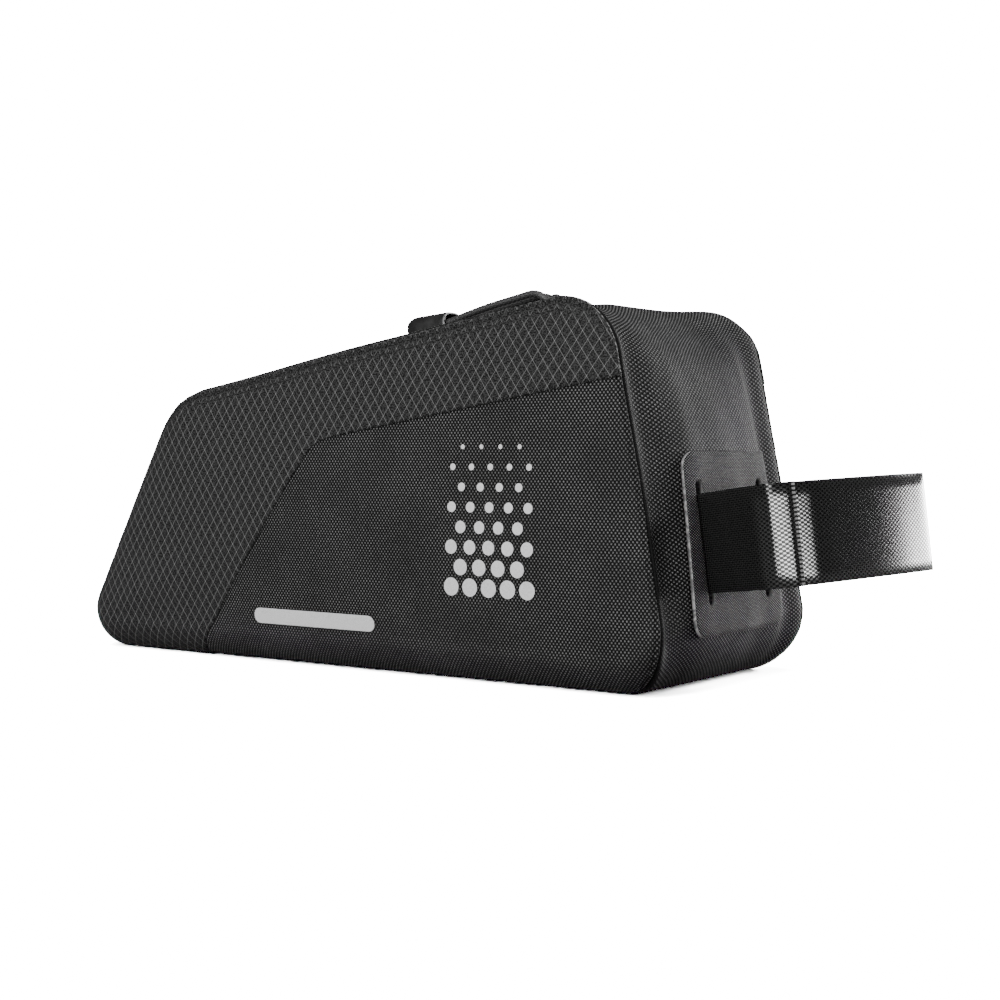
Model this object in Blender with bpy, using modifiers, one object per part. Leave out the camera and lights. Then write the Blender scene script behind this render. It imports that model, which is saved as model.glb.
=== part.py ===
"""A top tube bag for a bicycle: sewn side panels and yokes, a gusset all the way round, a zip
along the top with a corded pull, and a hook-and-loop strap through a patch on the tall end.

Metres, +Z up. The tall end, which the strap holds to the stem, is at +X, and the rider's right
is at -Y. The origin is the middle of the flat base.
"""

import math
from collections import namedtuple

import bmesh
import bpy
from mathutils import Matrix, Vector

# The body, seen from the side
BASE_LENGTH = 0.2125
TALL_HEIGHT = 0.0993
SHORT_HEIGHT = 0.0752
TALL_LEAN = math.radians(10.3)
SHORT_LEAN = math.radians(27.8)
BASE_TALL_RADIUS = 0.0157
TOP_TALL_RADIUS = 0.0198
TOP_SHORT_RADIUS = 0.0268
BASE_SHORT_RADIUS = 0.0115

# The body, across
BASE_WIDTH = 0.0765
TOP_WIDTH = 0.0697
SIDE_CROWN = 0.0016
SIDE_ROUNDING = 0.010
GUSSET_CROWN = 0.0018
SEAM_GROOVE = 0.0020
TALL_BELLY = 0.0040
TALL_TOP_SAG = 0.0035
WALL = 0.0018
CLEARANCE = 0.0003

# The yoke, the other cloth along the top and the short end of each side
YOKE_DROP = 0.0227
YOKE_FOOT = 0.0545
YOKE_SLANT = math.radians(35.9)
YOKE_CORNER_RADIUS = 0.013

# The patch on the tall end and its two slots
PATCH_WIDTH = 0.0450
PATCH_LENGTH = 0.0450
PATCH_RISE = 0.0362
PATCH_CORNER = 0.0040
PATCH_THICKNESS = 0.0009
SLOT_SPACING = 0.0312
SLOT_WIDTH = 0.0030

# The strap, whose loop stands out from the tall end
STRAP_WIDTH = 0.0242
STRAP_THICKNESS = 0.0015
STRAP_PLAY = 0.0065
STRAP_LIFT = math.radians(1.2)
LOOP_REACH = 0.0410
LOOP_SPREAD = 0.0540
LAP_GAP = 0.0005
STRAP_SET_BACK = 0.0008

# The zip along the top
ZIP_START = 0.0200
ZIP_LENGTH = 0.1040
ZIP_OPENING = 0.0080
TAPE_WIDTH = 0.0090
TAPE_THICKNESS = 0.0007
TAPE_END = 0.0030
COIL_WIDTH = 0.0032
COIL_HEIGHT = 0.0018
SLIDER_LENGTH = 0.0090
SLIDER_WIDTH = 0.0068
SLIDER_PLATE = 0.0010
EYE_WIDTH = 0.0014
EYE_WIRE = 0.0011
EYE_LENGTH = 0.0034
EYE_PLAY = 0.0026

# The corded pull on the slider
CORD_DIAMETER = 0.0020
CAP_LENGTH = 0.0155
CAP_WIDTH = 0.0086
CAP_DEPTH = 0.0068
CAP_SOCKET = 0.0055
CAP_TILT = 0.55  # share of the top edge's slope

# Edge roundings, each a share of the thickness that it rounds
PLATE_ROUNDING = 0.35
EYE_ROUNDING = 0.45
CAP_ROUNDING = 0.42
COIL_ROUNDING = 0.25
SLOT_ROUNDING = 0.45

# How finely each form is divided, and how far a cutter runs past what it cuts
CORNER_STEPS = 6
SIDE_STEPS = 4
SEAM_STEPS = 2
PATCH_STEPS = 10
PATCH_CORNER_STEPS = 3
CUT_PAST = 0.010
SHARP_ANGLE = math.radians(40)

Point = namedtuple("Point", "x z")
Station = namedtuple("Station", "x z nx nz shares")
EdgeForm = namedtuple("EdgeForm", "rounding turn step groove rise reach")

# How the gusset meets the sides along each edge of the outline. Rounding is a share of
# SIDE_ROUNDING, turn the degrees of it that the side covers before the seam, step a share of
# WALL, groove of SEAM_GROOVE, rise of GUSSET_CROWN, and reach a share of the half width.
EDGE_FORMS = (
    EdgeForm(rounding=1.00, turn=78, step=0.00, groove=0.0, rise=0.00, reach=0.30),
    EdgeForm(rounding=0.45, turn=45, step=0.45, groove=0.7, rise=-1.70, reach=0.62),
    EdgeForm(rounding=0.55, turn=43, step=0.25, groove=0.0, rise=1.00, reach=0.60),
    EdgeForm(rounding=0.85, turn=60, step=0.25, groove=0.0, rise=0.20, reach=0.60),
)
EDGE_NAMES = ("base", "tall", "top", "short")
TALL_EDGE = EDGE_NAMES.index("tall")
EDGE_STEPS = (6, 5, 7, 3)
GROOVE_REACH = 0.36
BELLY_SKEW = 1.35
SAG_REACH = 1.25
FIELD_SHARES = (0.88, 0.76, 0.60, 0.40, 0.20)
SIDE_DRAWN_IN = (0.80, 0.50, 0.22)

# The line in the middle of a side that its surface is drawn in to: its two ends, along as a
# share of BASE_LENGTH and up as a share of the body's height at that end.
SpineEnd = namedtuple("SpineEnd", "along up")
SPINE = (SpineEnd(along=-0.20, up=0.43), SpineEnd(along=0.24, up=0.45))

# The strap's way seen from above: reach as a share of LOOP_REACH out from the patch, side as a
# share of half LOOP_SPREAD. The tab comes first, from its free end back to the near slot. The
# loop's end laps under as many points of the tab as LAP_POINTS, and SLOT_TURN, a share of the
# strap's thickness, is how wide it turns behind each slot.
RoutePoint = namedtuple("RoutePoint", "reach side")
TAB_ROUTE = (
    RoutePoint(reach=0.675, side=-0.765),
    RoutePoint(reach=0.645, side=-0.860),
    RoutePoint(reach=0.570, side=-0.915),
    RoutePoint(reach=0.460, side=-0.875),
    RoutePoint(reach=0.330, side=-0.790),
    RoutePoint(reach=0.200, side=-0.690),
)
LOOP_ROUTE = (
    RoutePoint(reach=0.300, side=0.690),
    RoutePoint(reach=0.560, side=0.830),
    RoutePoint(reach=0.800, side=0.965),
    RoutePoint(reach=0.935, side=1.000),
    RoutePoint(reach=0.990, side=0.900),
    RoutePoint(reach=0.970, side=0.640),
    RoutePoint(reach=0.900, side=0.230),
    RoutePoint(reach=0.800, side=-0.230),
    RoutePoint(reach=0.715, side=-0.560),
)
LAP_POINTS = 4
SLOT_TURN = 1.5
ROUTE_STEPS = 4

# The cord's way over the top: along from the slider's eye towards the short end, side, and
# height over the eye. It turns round in the eye and both its ends are in the cap.
CORD_ROUTE = (
    (0.0400, -0.0022, 0.0012),
    (0.0345, -0.0023, 0.0015),
    (0.0285, -0.0023, 0.0022),
    (0.0210, -0.0023, 0.0029),
    (0.0150, -0.0023, 0.0032),
    (0.0095, -0.0023, 0.0034),
    (0.0058, -0.0023, 0.0035),
    (0.0032, -0.0023, 0.0027),
    (0.0014, -0.0020, 0.0010),
    (0.0000, 0.0000, 0.0000),
    (0.0014, 0.0020, 0.0008),
    (0.0032, 0.0023, 0.0022),
    (0.0058, 0.0023, 0.0031),
    (0.0095, 0.0023, 0.0030),
    (0.0150, 0.0023, 0.0027),
    (0.0210, 0.0023, 0.0024),
    (0.0285, 0.0023, 0.0018),
    (0.0345, 0.0023, 0.0013),
    (0.0400, 0.0022, 0.0012),
)
CORD_STEPS = 3


def clear_scene():
    for obj in list(bpy.data.objects):
        bpy.data.objects.remove(obj, do_unlink=True)


def new_collection(name):
    collection = bpy.data.collections.new(name)
    bpy.context.scene.collection.children.link(collection)
    return collection


def new_material(name, colour, roughness, metallic=0.0):
    material = bpy.data.materials.new(name)
    material.use_nodes = True
    shader = material.node_tree.nodes["Principled BSDF"]
    shader.inputs["Base Color"].default_value = (*colour, 1.0)
    shader.inputs["Roughness"].default_value = roughness
    shader.inputs["Metallic"].default_value = metallic
    return material


def add_object(name, bm, collection, material=None):
    """The bmesh as an object, whose mesh is already in its place."""
    mesh = bpy.data.meshes.new(name)
    bm.to_mesh(mesh)
    bm.free()
    obj = bpy.data.objects.new(name, mesh)
    collection.objects.link(obj)
    if material:
        mesh.materials.append(material)
        mesh.shade_smooth()
        mesh.set_sharp_from_angle(angle=SHARP_ANGLE)
    return obj


def add_cutter(name, bm, collection):
    bmesh.ops.recalc_face_normals(bm, faces=bm.faces)
    cutter = add_object(name, bm, collection)
    cutter.hide_render = True
    cutter.display_type = "WIRE"
    return cutter


def add_solidify(obj, thickness, offset):
    modifier = obj.modifiers.new("Cloth thickness", "SOLIDIFY")
    modifier.thickness = thickness
    modifier.offset = offset
    modifier.use_even_offset = True


def add_boolean(obj, cutter, operation):
    modifier = obj.modifiers.new(cutter.name, "BOOLEAN")
    modifier.object = cutter
    modifier.operation = operation


def add_bevel(obj, width, segments):
    modifier = obj.modifiers.new("Round edges", "BEVEL")
    modifier.width = width
    modifier.segments = segments
    modifier.limit_method = "ANGLE"


def smooth(share):
    share = min(max(share, 0.0), 1.0)
    return math.sin(0.5 * math.pi * share) ** 2


def spline(points, steps):
    """Points on a smooth curve through the given ones, with this many steps between each two."""
    ends = [2 * points[0] - points[1], *points, 2 * points[-1] - points[-2]]
    curve = []
    for before, first, last, after in zip(ends, ends[1:], ends[2:], ends[3:]):
        for step in range(steps):
            t = step / steps
            curve.append(
                0.5
                * (
                    2 * first
                    + (last - before) * t
                    + (2 * before - 5 * first + 4 * last - after) * t**2
                    + (3 * first - before - 3 * last + after) * t**3
                )
            )
    return [*curve, points[-1]]


def body_corners():
    """The outline's sharp corners, with the top corners set by the ends' heights and leans."""
    half = BASE_LENGTH / 2
    return (
        Point(-half, 0.0),
        Point(half, 0.0),
        Point(half - math.tan(TALL_LEAN) * TALL_HEIGHT, TALL_HEIGHT),
        Point(-half + math.tan(SHORT_LEAN) * SHORT_HEIGHT, SHORT_HEIGHT),
    )


def corner_arc(before, corner, after, radius):
    """Centre, first angle and turn of the arc that rounds a corner of a left-turning outline."""
    into = Vector((corner.x - before.x, corner.z - before.z)).normalized()
    out = Vector((after.x - corner.x, after.z - corner.z)).normalized()
    turn = math.atan2(into.x * out.y - into.y * out.x, into.dot(out))
    first = math.atan2(-into.x, into.y)
    reach = radius * math.tan(turn / 2)
    centre = Point(
        corner.x - into.x * reach - into.y * radius,
        corner.z - into.y * reach + into.x * radius,
    )
    return centre, first, turn


def rounded_outline(corners, radii, steps):
    """The corners joined by straight runs and rounded by arcs, as points."""
    points = []
    for i, radius in enumerate(radii):
        after = corners[(i + 1) % len(corners)]
        centre, first, turn = corner_arc(corners[i - 1], corners[i], after, radius)
        for step in range(steps + 1):
            angle = first + turn * step / steps
            points.append(
                Point(centre.x + radius * math.cos(angle), centre.z + radius * math.sin(angle))
            )
    return points


def body_stations():
    """Places round the body's outline, each with its outward normal and its share of each edge."""
    corners = body_corners()
    radii = (BASE_SHORT_RADIUS, BASE_TALL_RADIUS, TOP_TALL_RADIUS, TOP_SHORT_RADIUS)
    arcs = [
        corner_arc(corners[i - 1], corners[i], corners[(i + 1) % 4], radii[i]) for i in range(4)
    ]
    stations = []
    for i, (centre, first, turn) in enumerate(arcs):
        for step in range(CORNER_STEPS + 1):
            angle = first + turn * step / CORNER_STEPS
            nx, nz = math.cos(angle), math.sin(angle)
            shares = [0.0] * 4
            shares[i - 1] = 1 - smooth(step / CORNER_STEPS)
            shares[i] += smooth(step / CORNER_STEPS)
            x, z = centre.x + radii[i] * nx, centre.z + radii[i] * nz
            stations.append(Station(x, z, nx, nz, tuple(shares)))
        start = stations[-1]
        far_centre, far_first, _ = arcs[(i + 1) % 4]
        far_radius = radii[(i + 1) % 4]
        end_x = far_centre.x + far_radius * math.cos(far_first)
        end_z = far_centre.z + far_radius * math.sin(far_first)
        for step in range(1, EDGE_STEPS[i]):
            t = step / EDGE_STEPS[i]
            x, z = start.x + (end_x - start.x) * t, start.z + (end_z - start.z) * t
            stations.append(Station(x, z, start.nx, start.nz, start.shares))
    return stations


def form_at(shares):
    """The edge forms blended by their shares."""
    return EdgeForm(
        *(sum(share * value for share, value in zip(shares, column)) for column in zip(*EDGE_FORMS))
    )


def half_width(z):
    """From the middle to the outer face of a side, at the height z."""
    return (BASE_WIDTH - (BASE_WIDTH - TOP_WIDTH) * z / TALL_HEIGHT) / 2


def placed(station, outward, across, side):
    """The point this far out from the outline and this far from the middle plane."""
    return Vector(
        (station.x + station.nx * outward, side * across, station.z + station.nz * outward)
    )


def spine_point(x, z):
    """The nearest point of the line in the middle of a side that its surface is drawn in to."""
    short_end, tall_end = SPINE
    first = Vector((short_end.along * BASE_LENGTH, short_end.up * SHORT_HEIGHT))
    last = Vector((tall_end.along * BASE_LENGTH, tall_end.up * TALL_HEIGHT))
    along = last - first
    share = (Vector((x, z)) - first).dot(along) / along.length_squared
    return first + along * min(max(share, 0.0), 1.0)


def side_rings(side, depth):
    """Rings of a side, from its middle out to the seam, this deep under its outer face."""
    rings = []
    for drawn_in in SIDE_DRAWN_IN:
        ring = []
        for station in body_stations():
            rounding = SIDE_ROUNDING * form_at(station.shares).rounding
            x, z = station.x - station.nx * rounding, station.z - station.nz * rounding
            spine = spine_point(x, z)
            x, z = x + (spine.x - x) * drawn_in, z + (spine.y - z) * drawn_in
            crown = SIDE_CROWN * (1 - (1 - drawn_in) ** 2)
            ring.append(Vector((x, side * (half_width(z) + crown - depth), z)))
        rings.append(ring)
    for step in range(SIDE_STEPS + 1):
        ring = []
        for station in body_stations():
            form = form_at(station.shares)
            rounding = SIDE_ROUNDING * form.rounding
            radius = rounding - depth
            angle = math.radians(form.turn) * step / SIDE_STEPS
            outward = radius * math.sin(angle) - rounding
            across = half_width(station.z) - rounding + radius * math.cos(angle)
            ring.append(placed(station, outward, across, side))
        rings.append(ring)
    return rings


def belly(station):
    """How far the full middle of the tall end stands out, less its sag at the top corner."""
    height = min(max(station.z / TALL_HEIGHT, 0.0), 1.0)
    full = TALL_BELLY * math.sin(math.pi * height**BELLY_SKEW)
    corner = body_corners()[TALL_EDGE + 1]
    away = math.hypot(station.x - corner.x, station.z - corner.z) / TOP_TALL_RADIUS
    return station.shares[TALL_EDGE] * full - TALL_TOP_SAG * (1 - smooth(away / SAG_REACH))


def gusset_outward(form, rise, across_share):
    """The gusset's outer face from the outline, at a share of the way from middle to rounding."""
    inward = 1 - across_share
    step = WALL * form.step
    groove = SEAM_GROOVE * form.groove * smooth(2 * inward / GROOVE_REACH)
    if inward > GROOVE_REACH / 2:
        groove = SEAM_GROOVE * form.groove * smooth(2 - 2 * inward / GROOVE_REACH)
    return -step + (rise + step) * smooth(inward / form.reach) - groove


def gusset_half(station, depth):
    """The gusset at one station, from the seam to the middle plane, this deep under its face."""
    form = form_at(station.shares)
    rounding = SIDE_ROUNDING * form.rounding
    radius = rounding - WALL * form.step
    seam = math.radians(form.turn) + CLEARANCE / (radius - WALL)
    points = []
    for step in range(SEAM_STEPS + 1):
        angle = seam + (math.pi / 2 - seam) * step / SEAM_STEPS
        across = half_width(station.z) - rounding + (radius - depth) * math.cos(angle)
        points.append(((radius - depth) * math.sin(angle) - rounding, across))
    rise = GUSSET_CROWN * form.rise + belly(station)
    for share in (*FIELD_SHARES, 0.0):
        across = share * (half_width(station.z) - rounding)
        points.append((gusset_outward(form, rise, share) - depth, across))
    return points


def gusset_rings(depth):
    """Rings of the gusset from the right seam over the middle to the left one."""
    stations = body_stations()
    halves = [gusset_half(station, depth) for station in stations]
    columns = range(len(halves[0]))
    right = [[placed(s, *h[c], side=-1) for s, h in zip(stations, halves)] for c in columns]
    left = [[placed(s, *h[c], side=1) for s, h in zip(stations, halves)] for c in columns]
    return [*right, *left[-2::-1]]


def loft(rings, join_ends):
    """Quads between each ring and the next, with the two end rings joined or each filled."""
    bm = bmesh.new()
    rows = [[bm.verts.new(point) for point in ring] for ring in rings]
    pairs = list(zip(rows, rows[1:]))
    if join_ends:
        pairs.append((rows[-1], rows[0]))
    else:
        bm.faces.new(rows[0])
        bm.faces.new(rows[-1])
    for inner, outer in pairs:
        for i in range(len(inner)):
            j = (i + 1) % len(inner)
            bm.faces.new((inner[i], inner[j], outer[j], outer[i]))
    bmesh.ops.recalc_face_normals(bm, faces=bm.faces)
    return bm


def prism(points, low, high):
    """A closed solid on an outline of the XZ plane, from one Y to another."""
    bm = bmesh.new()
    face = bm.faces.new([bm.verts.new((point.x, low, point.z)) for point in points])
    moved = bmesh.ops.extrude_face_region(bm, geom=[face])["geom"]
    tops = [item for item in moved if isinstance(item, bmesh.types.BMVert)]
    bmesh.ops.translate(bm, verts=tops, vec=(0.0, high - low, 0.0))
    return bm


def panel_region(grown):
    """The outline that holds a side's panel and leaves its yoke, made larger by a little."""
    corners = body_corners()
    top = Vector((corners[2].x - corners[3].x, corners[2].z - corners[3].z)).normalized()
    level = Vector((corners[3].x, corners[3].z)) + Vector((top.y, -top.x)) * (YOKE_DROP - grown)
    slant = Vector((math.sin(YOKE_SLANT), math.cos(YOKE_SLANT)))
    foot = Vector((corners[0].x + YOKE_FOOT - grown / slant.y, 0.0))
    gap = level - foot
    rise = (gap.x * top.y - gap.y * top.x) / (slant.x * top.y - slant.y * top.x)
    bend = foot + slant * rise
    past = corners[1].x + CUT_PAST
    low = -CUT_PAST
    end = bend + top * ((past - bend.x) / top.x)
    sharp = (
        Point(foot.x + slant.x * low / slant.y, low),
        Point(past, low),
        Point(past, end.y),
        Point(bend.x, bend.y),
    )
    arc = rounded_outline(sharp, (0.0, 0.0, 0.0, YOKE_CORNER_RADIUS + grown), CORNER_STEPS)
    return [*sharp[:3], *arc[-CORNER_STEPS - 1 :]]


def make_side(side, word, parts, cutters, woven, ripstop):
    """One side: the woven panel and the ripstop yoke, cut from the same crowned shell."""
    reach = BASE_WIDTH
    low, high = (-reach, 0.0) if side < 0 else (0.0, reach)
    pieces = (
        ("side_panel_" + word, woven, 0.0, "INTERSECT"),
        ("side_yoke_" + word, ripstop, CLEARANCE, "DIFFERENCE"),
    )
    for name, material, grown, operation in pieces:
        rings = [*side_rings(side, 0.0), *side_rings(side, WALL)[::-1]]
        obj = add_object(name, loft(rings, join_ends=False), parts, material)
        cutter = add_cutter(name + "_region", prism(panel_region(grown), low, high), cutters)
        add_boolean(obj, cutter, operation)


def top_frame():
    """Along, across and up axes on the line of the top edge, with the short corner as origin."""
    corners = body_corners()
    along = Vector((corners[2].x - corners[3].x, 0.0, corners[2].z - corners[3].z)).normalized()
    up = Vector((-along.z, 0.0, along.x))
    frame = Matrix((along, Vector((0.0, 1.0, 0.0)), up)).transposed().to_4x4()
    frame.translation = Vector((corners[3].x, 0.0, corners[3].z))
    return frame


def box(low, high, frame):
    """A box between two corners of a frame."""
    bm = bmesh.new()
    size = [b - a for a, b in zip(low, high)]
    middle = [(a + b) / 2 for a, b in zip(low, high)]
    bmesh.ops.create_cube(bm, size=1.0)
    bmesh.ops.scale(bm, verts=bm.verts, vec=size)
    bmesh.ops.translate(bm, verts=bm.verts, vec=middle)
    bmesh.ops.transform(bm, matrix=frame, verts=bm.verts)
    return bm


def make_gusset(parts, cutters, woven):
    """The strip all the way round between the sides, with the zip's opening along the top."""
    rings = [*gusset_rings(0.0), *gusset_rings(WALL)[::-1]]
    obj = add_object("gusset", loft(rings, join_ends=True), parts, woven)
    half = ZIP_OPENING / 2
    opening = box(
        (ZIP_START, -half, GUSSET_CROWN - CUT_PAST),
        (ZIP_START + ZIP_LENGTH, half, GUSSET_CROWN + CUT_PAST),
        top_frame(),
    )
    add_boolean(obj, add_cutter("zip_opening", opening, cutters), "DIFFERENCE")


def tape_top():
    """The upper face of the zip's tapes, over the line of the top edge."""
    return GUSSET_CROWN - WALL - CLEARANCE


def make_zip(parts, tape_cloth, coil_plastic):
    """Two tapes under the opening's edges, and the closed coil between them."""
    top = tape_top()
    start, end = ZIP_START - TAPE_END, ZIP_START + ZIP_LENGTH + TAPE_END
    inner = COIL_WIDTH / 2 + CLEARANCE
    for word, side in (("right", -1), ("left", 1)):
        edges = sorted((side * inner, side * (inner + TAPE_WIDTH)))
        tape = box((start, edges[0], top - TAPE_THICKNESS), (end, edges[1], top), top_frame())
        add_object("zip_tape_" + word, tape, parts, tape_cloth)
    half = COIL_WIDTH / 2
    middle = top - TAPE_THICKNESS / 2
    coil = box(
        (ZIP_START + CLEARANCE, -half, middle - COIL_HEIGHT / 2),
        (ZIP_START + ZIP_LENGTH - CLEARANCE, half, middle + COIL_HEIGHT / 2),
        top_frame(),
    )
    bar = add_object("zip_coil", coil, parts, coil_plastic)
    add_bevel(bar, COIL_HEIGHT * COIL_ROUNDING, 1)


def eye_place():
    """How far along the top the slider's eye is."""
    return ZIP_START + ZIP_LENGTH - SLIDER_LENGTH


def slider_plate_top():
    """The upper face of the slider's plate, over the line of the top edge."""
    return tape_top() + (COIL_HEIGHT - TAPE_THICKNESS) / 2 + CLEARANCE + SLIDER_PLATE


def eye_room():
    """The height inside the slider's eye."""
    return CORD_DIAMETER + 2 * CLEARANCE + EYE_PLAY


def make_slider(parts, cutters, metal):
    """A plate over the coil with an upright eye, which the cord goes through."""
    along = eye_place()
    high = slider_plate_top()
    half = SLIDER_LENGTH / 2
    frame = top_frame()
    plate = box(
        (along - half, -SLIDER_WIDTH / 2, high - SLIDER_PLATE),
        (along + half, SLIDER_WIDTH / 2, high),
        frame,
    )
    slider = add_object("zip_slider", plate, parts, metal)
    add_bevel(slider, SLIDER_PLATE * PLATE_ROUNDING, 2)
    inner = EYE_LENGTH / 2
    eye = box(
        (along - inner - EYE_WIRE, -EYE_WIDTH / 2, high - SLIDER_PLATE / 2),
        (along + inner + EYE_WIRE, EYE_WIDTH / 2, high + eye_room() + EYE_WIRE),
        frame,
    )
    eye_block = add_cutter("slider_eye", eye, cutters)
    add_bevel(eye_block, EYE_WIRE * EYE_ROUNDING, 2)
    hole = box(
        (along - inner, -SLIDER_WIDTH, high + CLEARANCE),
        (along + inner, SLIDER_WIDTH, high + eye_room()),
        frame,
    )
    add_boolean(slider, eye_block, "UNION")
    add_boolean(slider, add_cutter("slider_hole", hole, cutters), "DIFFERENCE")


def cord_point(along, side, height):
    """A point of the cord's route, in the part's own axes."""
    eye = slider_plate_top() + eye_room() - CLEARANCE - CORD_DIAMETER / 2
    return top_frame() @ Vector((eye_place() - along, side, eye + height))


def make_pull_cord(parts, cord_cloth):
    """The cord from the cap through the slider's eye and back into the cap."""
    route = [cord_point(*point) for point in CORD_ROUTE]
    curve = bpy.data.curves.new("pull_cord", "CURVE")
    curve.dimensions = "3D"
    curve.bevel_depth = CORD_DIAMETER / 2
    curve.bevel_resolution = 2
    curve.use_fill_caps = True
    points = spline(route, CORD_STEPS)
    strand = curve.splines.new("POLY")
    strand.points.add(len(points) - 1)
    for place, point in zip(strand.points, points):
        place.co = (*point, 1.0)
    curve.materials.append(cord_cloth)
    parts.objects.link(bpy.data.objects.new("pull_cord", curve))


def make_pull_cap(parts, cutters, plastic):
    """The moulded cap on the cord's two ends, level above the top edge."""
    along, side, height = CORD_ROUTE[0]
    mouth = cord_point(along - CAP_SOCKET, 0.0, height)
    tilt = top_frame().to_euler().y * CAP_TILT
    level = Matrix.Translation(mouth) @ Matrix.Rotation(tilt, 4, "Y")
    half_across, half_deep = CAP_WIDTH / 2, CAP_DEPTH / 2
    shape = box((-CAP_LENGTH, -half_across, -half_deep), (0.0, half_across, half_deep), level)
    cap = add_object("pull_cap", shape, parts, plastic)
    add_bevel(cap, CAP_DEPTH * CAP_ROUNDING, 3)
    room = CORD_DIAMETER / 2 + CLEARANCE
    socket = box(
        (-CAP_SOCKET - CLEARANCE, -abs(side) - room, -room - CLEARANCE),
        (CUT_PAST, abs(side) + room, room + CLEARANCE),
        level,
    )
    add_boolean(cap, add_cutter("cap_socket", socket, cutters), "DIFFERENCE")


def tall_station(along):
    """The place this far up the tall end's straight line."""
    corner = body_corners()[1]
    shares = [0.0] * 4
    shares[TALL_EDGE] = 1.0
    return Station(
        corner.x - math.sin(TALL_LEAN) * along,
        math.cos(TALL_LEAN) * along,
        math.cos(TALL_LEAN),
        math.sin(TALL_LEAN),
        tuple(shares),
    )


def tall_face(along, across, lift):
    """A point over the gusset's outer face on the tall end."""
    station = tall_station(along)
    form = EDGE_FORMS[TALL_EDGE]
    room = half_width(station.z) - SIDE_ROUNDING * form.rounding
    rise = GUSSET_CROWN * form.rise + belly(station)
    outward = gusset_outward(form, rise, abs(across) / room) + lift
    return placed(station, outward, across, side=1)


def patch_centre():
    """How far up the tall end's line the patch's middle is."""
    return PATCH_RISE / math.cos(TALL_LEAN)


def strap_frame():
    """Out, across and up axes of the strap at the middle of the patch, off the gusset."""
    centre = patch_centre()
    reach = STRAP_WIDTH / 2
    low, high = (tall_face(centre + side * reach, 0.0, 0.0) for side in (-1, 1))
    up = Matrix.Rotation(-STRAP_LIFT, 3, "Y") @ (high - low).normalized()
    out = Vector((up.z, 0.0, -up.x))
    frame = Matrix((out, Vector((0.0, 1.0, 0.0)), up)).transposed().to_4x4()
    frame.translation = tall_face(centre, 0.0, 0.0)
    return frame


def rounded_rectangle(length, width, radius):
    corners = (
        Point(-width / 2, -length / 2),
        Point(width / 2, -length / 2),
        Point(width / 2, length / 2),
        Point(-width / 2, length / 2),
    )
    return rounded_outline(corners, (radius,) * 4, PATCH_CORNER_STEPS)


def face_frame():
    """A frame whose Y is out from the patch, for outlines drawn on the patch."""
    frame = strap_frame()
    swap_first_two = Matrix(((0, 1, 0, 0), (1, 0, 0, 0), (0, 0, 1, 0), (0, 0, 0, 1)))
    return frame @ swap_first_two


def slot_cutter(word, side, cutters):
    """A cutter for one of the slots, which goes through the patch and the gusset behind it."""
    outline = rounded_rectangle(STRAP_WIDTH + STRAP_PLAY, SLOT_WIDTH, SLOT_WIDTH * SLOT_ROUNDING)
    slot = prism(outline, -CUT_PAST, CUT_PAST)
    place = face_frame() @ Matrix.Translation((side * SLOT_SPACING / 2, 0.0, 0.0))
    bmesh.ops.transform(slot, matrix=place, verts=slot.verts)
    return add_cutter("strap_slot_" + word, slot, cutters)


def make_strap_patch(parts, cutters, twill):
    """The patch on the tall end, a sheet on the gusset, and the slots through both."""
    bm = bmesh.new()
    bmesh.ops.create_grid(bm, x_segments=PATCH_STEPS, y_segments=PATCH_STEPS, size=0.5)
    centre = patch_centre()
    for vert in bm.verts:
        across = vert.co.x * (PATCH_WIDTH + 2 * CLEARANCE)
        along = vert.co.y * (PATCH_LENGTH + 2 * CLEARANCE)
        vert.co = tall_face(centre + along, across, CLEARANCE)
    patch = add_object("strap_patch", bm, parts, twill)
    add_solidify(patch, PATCH_THICKNESS, 1.0)
    outline = prism(
        rounded_rectangle(PATCH_LENGTH, PATCH_WIDTH, PATCH_CORNER), -CUT_PAST, CUT_PAST
    )
    bmesh.ops.transform(outline, matrix=face_frame(), verts=outline.verts)
    add_boolean(patch, add_cutter("patch_outline", outline, cutters), "INTERSECT")
    for word, side in (("right", -1), ("left", 1)):
        cutter = slot_cutter(word, side, cutters)
        add_boolean(patch, cutter, "DIFFERENCE")
        add_boolean(bpy.data.objects["gusset"], cutter, "DIFFERENCE")


def strap_route():
    """The strap's way in its own frame: tab, near slot, behind the gusset, far slot, loop, lap."""
    hidden = -WALL - STRAP_THICKNESS / 2 - STRAP_SET_BACK
    outside = PATCH_THICKNESS + 2 * CLEARANCE
    slot = SLOT_SPACING / 2
    tab = [Vector((p.reach * LOOP_REACH, p.side * LOOP_SPREAD / 2)) for p in TAB_ROUTE]
    loop = [Vector((p.reach * LOOP_REACH, p.side * LOOP_SPREAD / 2)) for p in LOOP_ROUTE]
    behind = [
        Vector((outside, -slot)),
        Vector((hidden + STRAP_THICKNESS, -slot)),
        Vector((hidden, -slot + SLOT_TURN * STRAP_THICKNESS)),
        Vector((hidden, 0.0)),
        Vector((hidden, slot - SLOT_TURN * STRAP_THICKNESS)),
        Vector((hidden + STRAP_THICKNESS, slot)),
        Vector((outside, slot)),
    ]
    lap = []
    for i in range(LAP_POINTS):
        way = (tab[i + 1] - tab[max(i - 1, 0)]).normalized()
        inward = Vector((way.y, -way.x))
        lap.append(tab[i] + inward * (STRAP_THICKNESS + LAP_GAP))
    return [*tab, *behind, *loop, *lap]


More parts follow.
